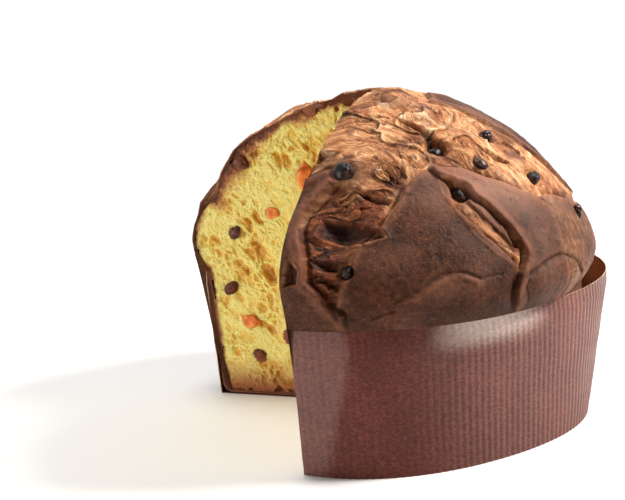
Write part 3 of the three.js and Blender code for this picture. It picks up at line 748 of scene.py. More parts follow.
def build_crust(start, end, column_step, row_step, thickness):
    """One closed piece of the crust between two turns, and its inner and outer edge at each end."""
    builder = MeshBuilder(tuple(LAYERS))
    length = SHOULDER_ARC + SHOULDER_HEIGHT - CASE_HEIGHT
    rows = int(length / row_step)
    share = np.arange(1, rows + 1) / rows
    widest = math.radians(end - start) * SHOULDER_RADIUS / column_step
    reach = np.minimum(1, np.interp(share * length, MERIDIAN_ARC, MERIDIAN_R) / SHOULDER_RADIUS)
    counts = [max(6, int(widest * r)) for r in reach]
    turn = np.concatenate([[start]] + [np.linspace(start, end, n) for n in counts])
    level = np.concatenate([[0.0]] + [np.full(n, s) for n, s in zip(counts, share)])
    flat, normal = SECTIONS.at(turn, level)
    points, values = shaped_crust(turn, flat, normal, 0.0, 1.0)
    first = 0
    outer = []
    for n in [1] + counts:
        outer.append(builder.add(points[first:first + n], values[first:first + n]))
        first += n
    under = np.linspace(start, end, int((end - start) / 1.5))
    browned = [INSIDE_CASE.get(key, 0.0) for keys in LAYERS.values() for key in keys]
    browned = np.tile(browned, (len(under), 1))
    for z, inset in side_rows():
        reach = reach_in_plane(under, np.array([z]), side_radius)[:, 0] - inset
        outer.append(builder.add(ring(under, reach, z), browned))
    outer.append(builder.add([[*CUT_TIP, LOAF_FOOT]], browned[:1]))
    close_rows(builder, outer, flip=False)
    inner = inner_rows(builder, start, end, thickness, length)
    close_rows(builder, inner, flip=True)
    for last in (0, -1):
        joined_edges(builder, [r[last] for r in outer], [r[last] for r in inner], last == 0)
    return builder, inner, outer


def side_rows():
    """Heights of the loaf's side inside the case, and how far each row is drawn in."""
    return [(CASE_HEIGHT + SHELF, 0), (52, 0), (36, 0), (18, 0), (LOAF_FOOT + 4, 0), (LOAF_FOOT + 1, 1.4),
            (LOAF_FOOT, 4)]


def close_rows(builder, rows, flip):
    start = len(builder.faces)
    for low, high in zip(rows, rows[1:]):
        if len(low) == 1:
            builder.faces.extend((low[0], high[i], high[i + 1]) for i in range(len(high) - 1))
        elif len(high) == 1:
            builder.faces.extend((low[i], high[0], low[i + 1]) for i in range(len(low) - 1))
        else:
            builder.zip(low, high)
    if flip:
        builder.faces[start:] = [face[::-1] for face in builder.faces[start:]]


def inner_rows(builder, start, end, thickness, length):
    """The crust's inner face: close under the relief at the cuts, and plainly deeper away from them."""
    step = 3.0
    share = np.arange(1, int(length / step) + 1) / int(length / step)
    under = np.linspace(start, end, int((end - start) / 4))
    near_cut = np.minimum(under - NEAR_TURN, FAR_TURN - under)
    keep = 1 - smooth(0.0, 9.0, near_cut)
    depth = thickness + (11 - thickness) * smooth(0.0, 9.0, near_cut)
    rows = [builder.add([[*CUT_TIP, top_height(thickness)]])]
    for s in share:
        flat, normal = SECTIONS.at(under, np.full(len(under), s))
        deep = np.minimum(depth, thickness + 0.35 * flat[:, 0])
        points, _ = shaped_crust(under, flat, normal, deep, keep)
        rows.append(builder.add(points))
    for z, inset in side_rows():
        reach = reach_in_plane(under, np.array([z]), side_radius)[:, 0] - inset
        rows.append(builder.add(ring(under, reach - np.minimum(depth, 6), max(z, LOAF_FOOT + thickness))))
    rows.append(builder.add([[*CUT_TIP, LOAF_FOOT + thickness]]))
    return rows


def top_height(depth):
    flat, _ = SECTIONS.at(np.array([NEAR_TURN]), np.array([0.0]))
    surface = Crust(np.array([azimuth_of(CUT_TIP)]), flat[:, 1])
    return float(flat[0, 1] + surface.height[0] - depth)


def joined_edges(builder, outer, inner, near):
    start = len(builder.faces)
    builder.zip(outer, inner)
    if not near:
        builder.faces[start:] = [face[::-1] for face in builder.faces[start:]]


class PANETTONE_OT_crust(bpy.types.Operator):
    """Builds the baked crust: torn dough at the top, smooth flaps between the cuts"""

    bl_idname = "panettone.crust"
    bl_label = "Crust"

    def execute(self, context):
        loaf = context.scene.panettone_loaf
        material = crust_material(context.scene.panettone_looks)
        spans = (("crust_front", NEAR_CUT, NEAR_TURN, CRUST_JOINT, loaf.front_step),
                 ("crust_back", FAR_CUT, CRUST_JOINT, FAR_TURN, loaf.back_step))
        for name, cut, start, end, step in spans:
            builder, inner, outer = build_crust(start, end, step / MM, loaf.row_step / MM, loaf.crust / MM)
            points = np.concatenate(builder.points)
            side = 0 if cut == NEAR_CUT else -1
            CUT_EDGES[cut] = [points[[row[side] for row in rows]] for rows in (inner, outer)]
            crust = builder.result(name)
            crust.data.set_sharp_from_angle(angle=SHARP_EDGE)
            dressed(crust, material, "loaf", "loaf")
        return {"FINISHED"}


# Inner and outer edge of the crust at each cut, which the crumb is fitted to
CUT_EDGES = {}
SHARP_EDGE = math.radians(62)


# Crumb


def in_face(points, cut):
    """Points in space as distance along the cut from the tip, and height."""
    along = cut_heading(cut)
    return np.column_stack([(points[:, :2] - CUT_TIP) @ along, points[:, 2]])


def jittered_cells(size, seed, low, high):
    """One random point in each square cell of a grid over a face."""
    rng = np.random.default_rng(seed)
    nx, nz = (int(math.ceil((h - l) / size)) for l, h in zip(low, high))
    grid = np.stack(np.meshgrid(np.arange(nx), np.arange(nz), indexing="ij"), axis=-1)
    places = np.asarray(low) + (grid + rng.uniform(0.05, 0.95, grid.shape)) * size
    return places, rng.uniform(0, 1, (nx, nz, 3))


def cell_pattern(flat, size, stretch, seed):
    """Distances to the nearest and second nearest cell middle, drawn out along the crumb's rise."""
    low, high = flat.min(axis=0) - 3 * size, flat.max(axis=0) + 3 * size
    places, chance = jittered_cells(size, seed, low, high)
    index = np.floor((flat - low) / size).astype(int)
    first = np.full(len(flat), 9.0)
    second = np.full(len(flat), 9.0)
    pick = np.zeros((len(flat), 3))
    for dx in range(-2, 3):
        for dz in range(-2, 3):
            i = np.clip(index[:, 0] + dx, 0, places.shape[0] - 1)
            k = np.clip(index[:, 1] + dz, 0, places.shape[1] - 1)
            middle = places[i, k]
            offset = (flat - middle) / size
            rise = np.arctan2(middle[:, 1] + 50, 0.7 * middle[:, 0])
            along = offset[:, 0] * np.cos(rise) + offset[:, 1] * np.sin(rise)
            across = offset[:, 1] * np.cos(rise) - offset[:, 0] * np.sin(rise)
            away = np.hypot(along / stretch, across * stretch ** 0.5)
            closer = away < first
            second = np.where(closer, first, np.minimum(second, away))
            first = np.where(closer, away, first)
            pick[closer] = chance[i, k][closer]
    return first, second, pick


def big_holes(flat, holes):
    """Depth of the large oval holes."""
    depth = np.zeros(len(flat))
    for along, height, length, width, turn in holes:
        offset = flat - [along, height]
        c, s = math.cos(math.radians(turn)), math.sin(math.radians(turn))
        a = (offset[:, 0] * c + offset[:, 1] * s) / length
        b = (offset[:, 1] * c - offset[:, 0] * s) / width
        ragged = 0.16 * noise(flat[:, 0] / 2.1, flat[:, 1] / 2.1, along)
        away = np.maximum(np.hypot(a, b) + ragged, 0)
        bowl = np.clip(1 - away ** 2.4, 0, 1) ** 0.6
        depth = np.maximum(depth, HOLE_DEPTH * width * bowl)
    return depth


# Bubbles of the crumb: size, stretch along the rise, share that is open, depth, and width of their walls
BUBBLES = ((6.6, 1.4, 0.34, 3.0, 0.6), (3.4, 1.5, 0.6, 1.9, 0.6), (1.7, 1.4, 0.85, 1.0, 0.65))
# Large holes in each face, and their depth for each millimetre of half width
HOLES_IN_FACE = 34
HOLE_DEPTH = 1.4
# Holes that the far face is known to have: along, height, half length, half width and turn
FAR_HOLES = [
    (47.5, 124, 5, 2.4, 75), (71, 91, 5, 2.3, 70), (66.5, 78.5, 6.5, 3.4, 60), (61.5, 66, 6.5, 3.6, 65),
    (13, 151.6, 3, 1.3, 20), (63.5, 128.5, 3.8, 1.8, -20),
]


def scattered_holes(taken, wanted, seed, outline):
    """Adds holes of mixed sizes to those that are there, clear of each other and of the face's outline."""
    rng = np.random.default_rng(seed)
    holes = list(taken)
    for _ in range(6000):
        if len(holes) >= wanted:
            break
        spot = np.array([rng.uniform(4, 100), rng.uniform(8, 150)])
        length = 1.8 + 4.2 * rng.uniform() ** 2.2
        width = length * rng.uniform(0.4, 0.75)
        rise = math.degrees(math.atan2(spot[1] + 30, spot[0] + 8))
        clear = all(math.hypot(spot[0] - h[0], spot[1] - h[1]) > 0.8 * (h[2] + length) for h in holes)
        if not clear or not inside(spot[None], outline)[0]:
            continue
        away, _ = nearest_on(spot[None], outline, True)
        if away[0] > length + 2:
            holes.append((*spot, length, width, rise + rng.normal(0, 14)))
    return holes


def fruit_in(cut):
    """Distance along the cut, height, half width and half height of each piece of fruit in a cut face."""
    along = cut_heading(cut)
    found = []
    for middle, half in map(middle_and_half, RAISINS + ORANGES):
        face = in_cut_face(middle)
        if face and face[0] == cut:
            found.append(((middle[:2] - CUT_TIP) @ along, middle[2], math.hypot(half[0], half[1]), half[2]))
    return found


def crumb_depth(flat, outline, cut, seed):
    """How deep the open crumb lies behind the cut, and its colour values."""
    edge, _ = nearest_on(flat, outline, True)
    holes = scattered_holes(FAR_HOLES if cut == FAR_CUT else [], HOLES_IN_FACE, seed, outline)
    x, z = flat.T

    def spots(size, layer):
        return noise(x / size, z / size, layer)

    warped = flat + 2.2 * np.column_stack([spots(8, 3.1), spots(8, 8.4)])
    warped += 0.7 * np.column_stack([spots(2, 13.1), spots(2, 18.4)])
    dense = 0.25 + 0.75 * smooth(1.0, 7.0, edge + 1.5 * spots(4, 6.6))
    depth = big_holes(flat, holes) * (0.85 + 0.25 * spots(1.6, 2.2))
    web = np.zeros(len(flat))
    for size, stretch, share, deepest, wall_width in BUBBLES:
        first, second, chance = cell_pattern(warped, size, stretch, seed + int(10 * size))
        opened = smooth(1 - share - 0.15, 1 - share + 0.15, chance[:, 0])
        wall = smooth(0.0, wall_width, second - first)
        round_bowl = np.sqrt(np.clip(1.1 - first ** 2, 0.05, 1))
        bowl = opened * wall * round_bowl * deepest * (0.35 + 0.65 * chance[:, 1]) * dense
        depth = np.maximum(depth, bowl) + 0.35 * np.minimum(depth, bowl)
        web += (1 - wall) * deepest
    calm = smooth(-0.5, 0.3, spots(13, 21.0))
    depth = depth * (0.45 + 0.55 * calm) + 0.4 + 0.4 * fractal(x / 2.1, z / 2.1, 0.7, 3)
    for along, height, wide, tall in fruit_in(cut):
        away = np.hypot((x - along) / (wide + 0.3), (z - height) / (tall + 0.3)) + 0.18 * spots(1.9, 4.2)
        depth = np.where(away < 0.8, np.maximum(depth, 3.0 * np.clip(0.9 - away, 0, 1) ** 0.5), depth)
    depth = depth * smooth(0.0, 1.0, edge)
    # Painted shade: the crumb is coloured darker the deeper it lies in a hole
    hole_shade = 1 - np.exp(-depth / 2.6)
    strand = np.clip(web / 3.4, 0, 1) * smooth(2.0, 0.4, depth)
    return depth, hole_shade, strand


# Size of a crumb slab's back against its face
BACK_SHARE = 0.72
# Where the toasted band is thickest: along, height, half width, half height, added share
SCORCHED = (74, 124, 15, 11, 0.9)
# How far each crumb face runs on past the tip, behind the other one
PAST_TIP = 4.0


def build_crumb(name, cut, side, spacing, slab):
    """A slab of crumb behind a cut: its open face, its sides and a smaller plain back."""
    inner, outer = CUT_EDGES[cut]
    rim = in_face(inner, cut)
    skin_line = in_face(outer, cut)
    tip_count = int((rim[0, 1] - rim[-1, 1]) / 2.5)
    tip_line = np.column_stack([np.full(tip_count - 3, -PAST_TIP),
                                np.linspace(rim[-1, 1], rim[0, 1], tip_count + 1)[2:-2]])
    outline = np.concatenate([rim, tip_line])
    rng = np.random.default_rng(7)
    xs = np.arange(-PAST_TIP, rim[:, 0].max(), spacing)
    zs = np.arange(rim[:, 1].min(), rim[:, 1].max(), spacing * 0.866)
    gx, gz = np.meshgrid(xs, zs)
    gx = gx + (np.arange(len(zs)) % 2)[:, None] * spacing / 2
    grid = np.column_stack([gx.ravel(), gz.ravel()])
    grid = grid + rng.uniform(-0.12, 0.12, grid.shape) * spacing
    grid = grid[inside(grid, outline)]
    away, _ = nearest_on(grid, outline, True)
    grid = grid[away > 0.55 * spacing]
    count = len(outline)
    corners = [Vector(p) for p in np.concatenate([outline, grid])]
    loop = [(i, (i + 1) % count) for i in range(count)]
    flat, _, faces, _, _, _ = delaunay_2d_cdt(corners, loop, [list(range(count))], 1, 1e-7)
    flat = np.array([list(p) for p in flat])
    faces = np.array([(f[0], f[k], f[k + 1]) for f in faces for k in range(1, len(f) - 1)])
    depth, hole_shade, strand = crumb_depth(flat, outline, cut, 11 if cut == NEAR_CUT else 23)
    depth[:count] = 0
    along = cut_heading(cut)
    out = np.array([along[1] * side, -along[0] * side])
    spot = CUT_TIP + flat[:, :1] * along - depth[:, None] * out
    points = np.column_stack([spot, flat[:, 1]])
    crust_away, _ = nearest_on(flat, skin_line, False)
    x, z = flat.T
    band = 0.6 + 1.1 * smooth(-0.6, 0.5, noise(x / 12, z / 12, 5.5)) * smooth(70, 120, z)
    scorch_along, scorch_height, half_width, half_height, share = SCORCHED
    band += share * hump(x, scorch_along, half_width) * hump(z, scorch_height, half_height)
    crust_away = crust_away / band + 1.4 * noise(x / 1.8, z / 1.8, 1.5)
    values = np.column_stack([hole_shade, strand, crust_away / 20, np.clip(z / 100, 0, 2)])
    middle = outline.mean(axis=0)
    back = np.concatenate([middle + BACK_SHARE * (outline - middle), middle[None]])
    back_points = np.column_stack([CUT_TIP + back[:, :1] * along - slab * out, back[:, 1]])
    start = len(points)
    hub = start + count
    sides = []
    for i, j in loop:
        sides += [(i, j, start + j), (i, start + j, start + i), (start + i, start + j, hub)]
    faces = np.concatenate([faces, sides])
    points = np.concatenate([points, back_points])
    values = np.concatenate([values, np.tile([0, 0.5, 0.5, 0.5], (count + 1, 1))])
    return new_object(name, points, faces[:, ::side], {"crumb": values})


class PANETTONE_OT_crumb(bpy.types.Operator):
    """Builds the open yellow crumb at both cut faces"""

    bl_idname = "panettone.crumb"
    bl_label = "Crumb"

    def execute(self, context):
        loaf = context.scene.panettone_loaf
        material = crumb_material(context.scene.panettone_looks)
        for name, cut, side in (("crumb_near", NEAR_CUT, 1), ("crumb_far", FAR_CUT, -1)):
            crumb = build_crumb(name, cut, side, loaf.crumb_step / MM, loaf.crumb_depth / MM)
            dressed(crumb, material, "loaf", "loaf")
        return {"FINISHED"}


# Fruit


def ball(detail):
    """Points and triangles of an even unit ball."""
    mesh = bmesh.new()
    bmesh.ops.create_icosphere(mesh, subdivisions=detail, radius=1.0)
    points = np.array([v.co[:] for v in mesh.verts])
    mesh.verts.index_update()
    faces = np.array([[v.index for v in f.verts] for f in mesh.faces])
    mesh.free()
    return points, faces


# Size of a piece of fruit against its solid, and how deep one sits in a cut face
FRUIT_IN_CRUMB = 1.05
FRUIT_IN_CRUST = 1.06
FRUIT_SUNK = 1.3
# How much of a piece's height stands out of the cut, and how far it stays under the crust
CUT_PROUD = 0.4
UNDER_CRUST = 0.6


def crust_height(points, cut):
    """Height of the crust's outside at a cut face over each point."""
    line = in_face(CUT_EDGES[cut][1], cut)
    dome = line[:line[:, 0].argmax() + 1]
    return np.interp(in_face(points, cut)[:, 0], np.maximum.accumulate(dome[:, 0]), dome[:, 1])


def build_fruit(name, nodes, shape, detail):
    """One object of all pieces of a kind: each fills its solid's box, flattened where the cut goes through."""
    unit, triangles = ball(detail)
    points, faces, values = [], [], []
    for index, node in enumerate(nodes):
        middle, half = middle_and_half(node)
        body, shade = shape(unit, index)
        face = in_cut_face(middle)
        if not face:
            body = body * half * FRUIT_IN_CRUST + middle
        else:
            cut, inwards = face
            body = body * half * FRUIT_IN_CRUMB
            proud = np.minimum(body @ inwards, 0)
            body = body - (1 - CUT_PROUD) * proud[:, None] * inwards + middle + FRUIT_SUNK * inwards
            body[:, 2] = np.minimum(body[:, 2], crust_height(body, cut) - UNDER_CRUST)
        faces.append(triangles + sum(len(p) for p in points))
        points.append(body)
        same = np.ones(len(body))
        chance = float(lattice(index * 1.7, 3.1, 5.2))
        browned = smooth(136, 150, body[:, 2])
        values.append(np.column_stack([shade, same * bool(face), same * chance, browned]))
    return new_object(name, np.concatenate(points), np.concatenate(faces), {"fruit": np.concatenate(values)})


def pressed(body, index, share):
    """A body made thinner by a share along a direction of its own."""
    axis = np.array([float(lattice(index, k, 2.5)) - 0.5 for k in range(3)])
    axis /= np.linalg.norm(axis)
    return body - share * (body @ axis)[:, None] * axis


def raisin_shape(unit, index):
    """A shrivelled raisin: sunken folds between sharp ridges, on an uneven, pressed body."""
    seed = 3.7 * index
    x, y, z = (unit * 1.5 + seed).T
    folds = np.abs(noise(x, y, z))
    fine = np.abs(noise(x * 2.6, y * 2.6, z * 2.6))
    lumps = noise(*(unit * 0.9 + seed + 9).T)
    size = 0.86 + 0.24 * smooth(0.0, 0.4, folds) + 0.15 * smooth(0.0, 0.3, fine) + 0.42 * lumps
    return pressed(unit * np.clip(size, 0.6, 1.22)[:, None], index, 0.34), 1 - smooth(0.0, 0.35, folds)


def orange_shape(unit, index):
    """A soft, uneven piece of candied orange."""
    seed = 5.1 * index
    square = (np.abs(unit) ** 2.7).sum(axis=1) ** (-1 / 2.7)
    x, y, z = (unit * 1.3 + seed).T
    size = 0.94 * square * (1 + 0.34 * noise(x, y, z)) + 0.07 * noise(x * 2.6, y * 2.6, z * 2.6)
    return pressed(unit * size[:, None], index + 40, 0.25), 0.5 + 0.5 * noise(x * 1.2, y * 1.2, z * 1.2)


class PANETTONE_OT_raisins(bpy.types.Operator):
    """Builds the raisins: black and shining in the crust, brown and soft in the crumb"""

    bl_idname = "panettone.raisins"
    bl_label = "Raisins"

    def execute(self, context):
        raisins = build_fruit("raisins", RAISINS, raisin_shape, context.scene.panettone_loaf.fruit_detail)
        dressed(raisins, raisin_material(context.scene.panettone_looks), "raisin", *RAISINS)
        return {"FINISHED"}


class PANETTONE_OT_candied_orange(bpy.types.Operator):
    """Builds the candied orange pieces in the crumb"""

    bl_idname = "panettone.candied_orange"
    bl_label = "Candied orange"

    def execute(self, context):
        detail = context.scene.panettone_loaf.fruit_detail
        pieces = build_fruit("candied_orange", ORANGES, orange_shape, detail)
        dressed(pieces, orange_material(context.scene.panettone_looks), "candied_orange", *ORANGES)
        return {"FINISHED"}


# Node trees


class Wire:
    """A node's output, which arithmetic can be written with."""

    def __init__(self, graph, socket):
        self.graph = graph
        self.socket = socket

    def __add__(self, other):
        return self.graph.math("ADD", self, other)

    def __sub__(self, other):
        return self.graph.math("SUBTRACT", self, other)

    def __rsub__(self, other):
        return self.graph.math("SUBTRACT", other, self)

    def __mul__(self, other):
        return self.graph.math("MULTIPLY", self, other)

    __radd__ = __add__
    __rmul__ = __mul__


class Graph:
    """A node tree: each call adds a node, links what it is given and returns its output."""

    def __init__(self, tree):
        self.tree = tree

    def give(self, socket, value):
        if isinstance(value, Wire):
            self.tree.links.new(value.socket, socket)
        else:
            socket.default_value = value

    def node(self, kind, inputs=(), output=0, **settings):
        node = self.tree.nodes.new(kind)
        for key, value in settings.items():
            setattr(node, key, value)
        for key, value in inputs.items() if isinstance(inputs, dict) else enumerate(inputs):
            self.give(node.inputs[key], value)
        return Wire(self, node.outputs[output])

    def math(self, operation, *values, clamp=False):
        return self.node("ShaderNodeMath", values, operation=operation, use_clamp=clamp)

    def step(self, value, low, high, start=0.0, end=1.0, kind="SMOOTHSTEP"):
        """A value that runs from start to end while another runs from low to high."""
        return self.node("ShaderNodeMapRange", {"Value": value, "From Min": low, "From Max": high,
                                                "To Min": start, "To Max": end}, interpolation_type=kind)

    def noise(self, place, scale, detail=3.0, rough=0.5, output="Fac"):
        return self.node("ShaderNodeTexNoise", {"Vector": place, "Scale": scale, "Detail": detail,
                                                "Roughness": rough}, output=output)

    def split(self, place):
        first = self.node("ShaderNodeSeparateXYZ", (place,))
        return [Wire(self, socket) for socket in first.socket.node.outputs]


# Paper case


# Inputs of the case's tree: name, kind and default
CASE_INPUTS = (
    ("Geometry", "Geometry", None), ("From", "Float", 0.0), ("To", "Float", 360.0), ("Radius", "Float", 0.1),
    ("Height", "Float", 0.066), ("Base share", "Float", 0.96), ("Flutes", "Int", 190),
    ("Flute depth", "Float", 0.0007), ("Paper", "Float", 0.0005), ("Rim curl", "Float", 0.0),
    ("Columns", "Int", 900), ("Rows", "Int", 14),
)
# How far the wall buckles, and how ragged its rim is, in metres
BUCKLE = 0.0016
RAGGED = 0.0005


def case_tree(material):
    tree = bpy.data.node_groups.new("Fluted case", "GeometryNodeTree")
    for name, kind, default in CASE_INPUTS:
        socket = tree.interface.new_socket(name, in_out="INPUT", socket_type="NodeSocket" + kind)
        if default is not None:
            socket.default_value = default
    tree.interface.new_socket("Geometry", in_out="OUTPUT", socket_type="NodeSocketGeometry")
    g = Graph(tree)
    given = {socket.name: Wire(g, socket) for socket in tree.nodes.new("NodeGroupInput").outputs}
    sheet = g.node("GeometryNodeMeshGrid", (1.0, 1.0, given["Columns"], given["Rows"]))
    place = g.node("GeometryNodeInputPosition")
    across, up, _ = g.split(place)
    up = up + 0.5
    angle = g.math("RADIANS", (across + 0.5) * (given["To"] - given["From"]) + given["From"])
    share = 1.0
    for order, cosine, sine in OUT_OF_ROUND:
        turned = angle * float(order)
        share = g.math("COSINE", turned) * cosine + share
        share = g.math("SINE", turned) * sine + share
    turn = (angle - math.radians(FLARE[0])) * (1 / math.radians(FLARE[1]))
    base = given["Base share"] - g.math("EXPONENT", turn * turn * -1.0) * FLARE[2]
    wave = g.math("SINE", angle * given["Flutes"])
    sharp = g.math("SIGN", wave) * g.math("POWER", g.math("ABSOLUTE", wave), 0.75)
    uneven = g.math("MULTIPLY_ADD", g.noise(place, 9.0, 2.0), 2.6, -0.4, clamp=True)
    out = share * given["Radius"] * ((1.0 - base) * up + base) + sharp * uneven * given["Flute depth"]
    out = out + (g.noise(place, 3.2, 2.0) - 0.5) * BUCKLE - g.step(up, 0.9, 1.0) * given["Rim curl"]
    z = up * given["Height"] + (g.noise(place, 60.0, 1.0) - 0.5) * RAGGED * up
    x, y = g.math("SINE", angle) * out, g.math("COSINE", angle) * out * -1.0
    where = g.node("ShaderNodeCombineXYZ", (x, y, z))
    wall = g.node("GeometryNodeSetPosition", {"Geometry": sheet, "Position": where})
    thick = {"Mesh": wall, "Offset Scale": given["Paper"], "Individual": False}
    front = g.node("GeometryNodeExtrudeMesh", thick)
    back = g.node("GeometryNodeFlipFaces", {"Mesh": wall})
    join = g.node("GeometryNodeJoinGeometry")
    for side, shade in ((front, Wire(g, front.socket.node.outputs["Side"])), (back, 0.5)):
        mark = {"Geometry": side, "Name": "sheet", "Value": shade}
        marked = g.node("GeometryNodeStoreNamedAttribute", mark, data_type="FLOAT", domain="FACE")
        g.give(join.socket.node.inputs[0], marked)
    closed = g.node("GeometryNodeMergeByDistance", {"Geometry": join, "Distance": 1e-6})
    plain = g.node("GeometryNodeRealizeInstances", {"Geometry": closed})
    done = g.node("GeometryNodeSetMaterial", {"Geometry": plain, "Material": material})
    g.give(tree.nodes.new("NodeGroupOutput").inputs[0], done)
    return tree


def evaluated(name, tree, values):
    """Runs a tree on an empty mesh and returns the plain mesh object that it makes."""
    holder = bpy.data.objects.new(name + "_tree", bpy.data.meshes.new(name + "_tree"))
    bpy.context.scene.collection.objects.link(holder)
    modifier = holder.modifiers.new("nodes", "NODES")
    modifier.node_group = tree
    for item in tree.interface.items_tree:
        if item.item_type == "SOCKET" and item.in_out == "INPUT" and item.name in values:
            modifier[item.identifier] = values[item.name]
    graph = bpy.context.evaluated_depsgraph_get()
    mesh = bpy.data.meshes.new_from_object(holder.evaluated_get(graph))
    bpy.data.objects.remove(holder)
    mesh.name = name
    mesh.shade_smooth()
    obj = bpy.data.objects.new(name, mesh)
    bpy.context.scene.collection.objects.link(obj)
    return obj


def face_outwards(obj):
    mesh = bmesh.new()
    mesh.from_mesh(obj.data)
    bmesh.ops.recalc_face_normals(mesh, faces=mesh.faces)
    mesh.to_mesh(obj.data)
    mesh.free()


# How far the bottom's edge stays inside the wall
BASE_INSET = 0.2


def build_case_base(paper):
    """The flat bottom of the case, cut to the same wedge."""
    builder = MeshBuilder(("sheet",))
    turns = np.linspace(NEAR_TURN, FAR_TURN, 240)
    edge = reach_in_plane(turns, np.array([0.0]), lambda a, h: case_radius(a, h) - BASE_INSET)[:, 0]
    rows = []
    for share, z in ((0.0, paper), (0.5, paper), (1.0, paper), (1.0, 0.0), (0.5, 0.0), (0.0, 0.0)):
        if share == 0.0:
            rows.append(builder.add([[*CUT_TIP, z]]))
            continue
        rows.append(builder.add(ring(turns, edge * share, z)))
    close_rows(builder, rows, flip=False)
    for end in (0, -1):
        ends = [r[end] for r in rows]
        quads = [(ends[0], ends[1], ends[4], ends[5]), (ends[1], ends[2], ends[3], ends[4])]
        for a, b, c, d in quads:
            pair = [(a, b, c), (a, c, d)]
            builder.faces += [p[::-1] for p in pair] if end == 0 else pair
    return builder.result("paper_base")


class PANETTONE_OT_case(bpy.types.Operator):
    """Builds the fluted paper case, cut open at the missing wedge"""

    bl_idname = "panettone.case"
    bl_label = "Paper case"

    def execute(self, context):
        case = context.scene.panettone_case
        material = paper_material(context.scene.panettone_looks)
        wall = evaluated("paper_wall", case_tree(material), {
            "From": float(NEAR_CUT), "To": float(FAR_CUT), "Radius": MOULD_RADIUS * MM,
            "Height": CASE_HEIGHT * MM, "Base share": BASE_SHARE, "Flutes": case.flutes,
            "Flute depth": case.flute_depth, "Paper": case.paper, "Columns": case.columns, "Rows": case.rows,
            "Rim curl": case.rim_curl,
        })
        base = build_case_base(case.paper / MM)
        for piece in (wall, base):
            face_outwards(piece)
            piece.data.set_sharp_from_angle(angle=SHARP_EDGE)
            dressed(piece, material, "paper", "paper_case")
        return {"FINISHED"}


# Materials


class Finish(Graph):
    """A material on Object coordinates that takes its colours from the looks by name."""

    def __init__(self, name, looks):
        self.material = bpy.data.materials.new(name)
        self.material.use_nodes = True
        super().__init__(self.material.node_tree)
        self.looks = looks
        self.shader = self.tree.nodes["Principled BSDF"]
        self.place = self.node("ShaderNodeTexCoord", output="Object")

    def texture(self, *sizes):
        return self.noise(self.place, *sizes)

    def drawn(self, place, scale):
        return self.node("ShaderNodeMapping", {"Vector": place, "Scale": scale}, output="Vector")

    def ramp(self, value, **stops):
        """A colour ramp through the looks' colours, each given with its position."""
        ramp = self.node("ShaderNodeValToRGB", (value,))
        elements = ramp.socket.node.color_ramp.elements
        while len(elements) < len(stops):
            elements.new(0.5)
        for element, (key, position) in zip(elements, stops.items()):
            element.position = position
            element.color = (*getattr(self.looks, key), 1)
        return ramp

    def mix(self, factor, under, over):
        """One colour laid over another: either may be a look's name."""
        mix = self.node("ShaderNodeMix", {"Factor": factor}, output=2, data_type="RGBA")
        for slot, colour in ((6, under), (7, over)):
            if isinstance(colour, str):
                colour = (*getattr(self.looks, colour), 1)
            self.give(mix.socket.node.inputs[slot], colour)
        return mix

    def values(self, name):
        """The four numbers of a colour attribute."""
        colour = self.node("ShaderNodeAttribute", output="Color", attribute_name=name)
        parts = self.node("ShaderNodeSeparateColor", (colour,))
        outputs = [*parts.socket.node.outputs, colour.socket.node.outputs["Alpha"]]
        return [Wire(self, socket) for socket in outputs]

    def done(self, colour, relief, distance, strength, **shader):
        """Gives the shader its colour, its bump and its other values, and returns the material."""
        bump = {"Height": relief, "Distance": distance, "Strength": strength}
        self.give(self.shader.inputs["Base Color"], colour)
        self.give(self.shader.inputs["Normal"], self.node("ShaderNodeBump", bump, output="Normal"))
        for key, value in shader.items():
            self.give(self.shader.inputs[SHADER_NAMES[key]], value)
        return self.material


SHADER_NAMES = {"roughness": "Roughness", "gloss": "Specular IOR Level", "glow": "Subsurface Weight",
                "glow_radius": "Subsurface Radius", "glow_depth": "Subsurface Scale"}


def crust_material(looks):
    g = Finish("baked_crust", looks)
    skin, pale, dark, rolled = g.values("bake")
    burn, pits, sheen_and_bloom, _ = g.values("toast")
    free = g.values("flow")[3]
    speck = g.texture(420, 4, 0.7)
    blotch = g.texture(60, 4, 0.6)
    flow = g.node("ShaderNodeAttribute", output="Vector", attribute_name="flow")
    strands = g.noise(g.drawn(flow, (0.24, 1.3, 0.0)), 1.0, 4, 0.62)
    wisps = g.noise(g.drawn(flow, (0.09, 0.4, 0.0)), 1.0, 3, 0.6)
    level = (speck - 0.5) * 0.4 + pale + (strands - 0.5) * free * 0.75
    level = level + (wisps - 0.5) * 0.5 + (blotch - 0.5) * 0.9
    golden = g.ramp(level, torn_dark=0.1, torn_middle=0.4, torn_light=0.68, torn_pale=0.98)
    burnt = g.ramp(level, burnt_dark=0.15, burnt_middle=0.5, burnt_light=0.95)
    # Browned dough and painted shade in recesses, laid over the golden torn dough
    torn = g.mix(g.math("MULTIPLY_ADD", blotch - 0.5, 1.2, burn, clamp=True), golden, burnt)
    whole = g.ramp(speck * 0.6 + blotch * 0.4, skin_dark=0.36, skin_middle=0.5, skin_light=0.66)
    # Painted sheen on the upper skin
    whole = g.mix(sheen_and_bloom * 0.7, whole, "skin_sheen")
    whole = g.mix(g.step(g.texture(720, 2, 0.6), 0.57, 0.72, end=0.36, kind="LINEAR"), whole, "skin_freckle")
    # Painted highlight on the rolled edges of the skin
    whole = g.mix(rolled * speck * 0.7, whole, "skin_edge_highlight")
    whole = g.mix(pits * 0.5, whole, "burnt_dark")
    # Painted shade behind torn edges, under the flaps' lips, in cracks and in pockets
    colour = g.mix(dark * 0.88, g.mix(skin, torn, whole), "burnt_dark")
    furrow = strands * free * (skin * -1.3 + 1.5)
    relief = g.texture(1700, 2) * 0.35 + g.texture(900, 3, 0.65) * 0.7 + furrow + speck * 0.45
    rough = (speck - 0.5) * 0.3 + skin * 0.08 + 0.46
    return g.done(colour, relief, 0.0006, 0.85, roughness=rough, gloss=0.14)


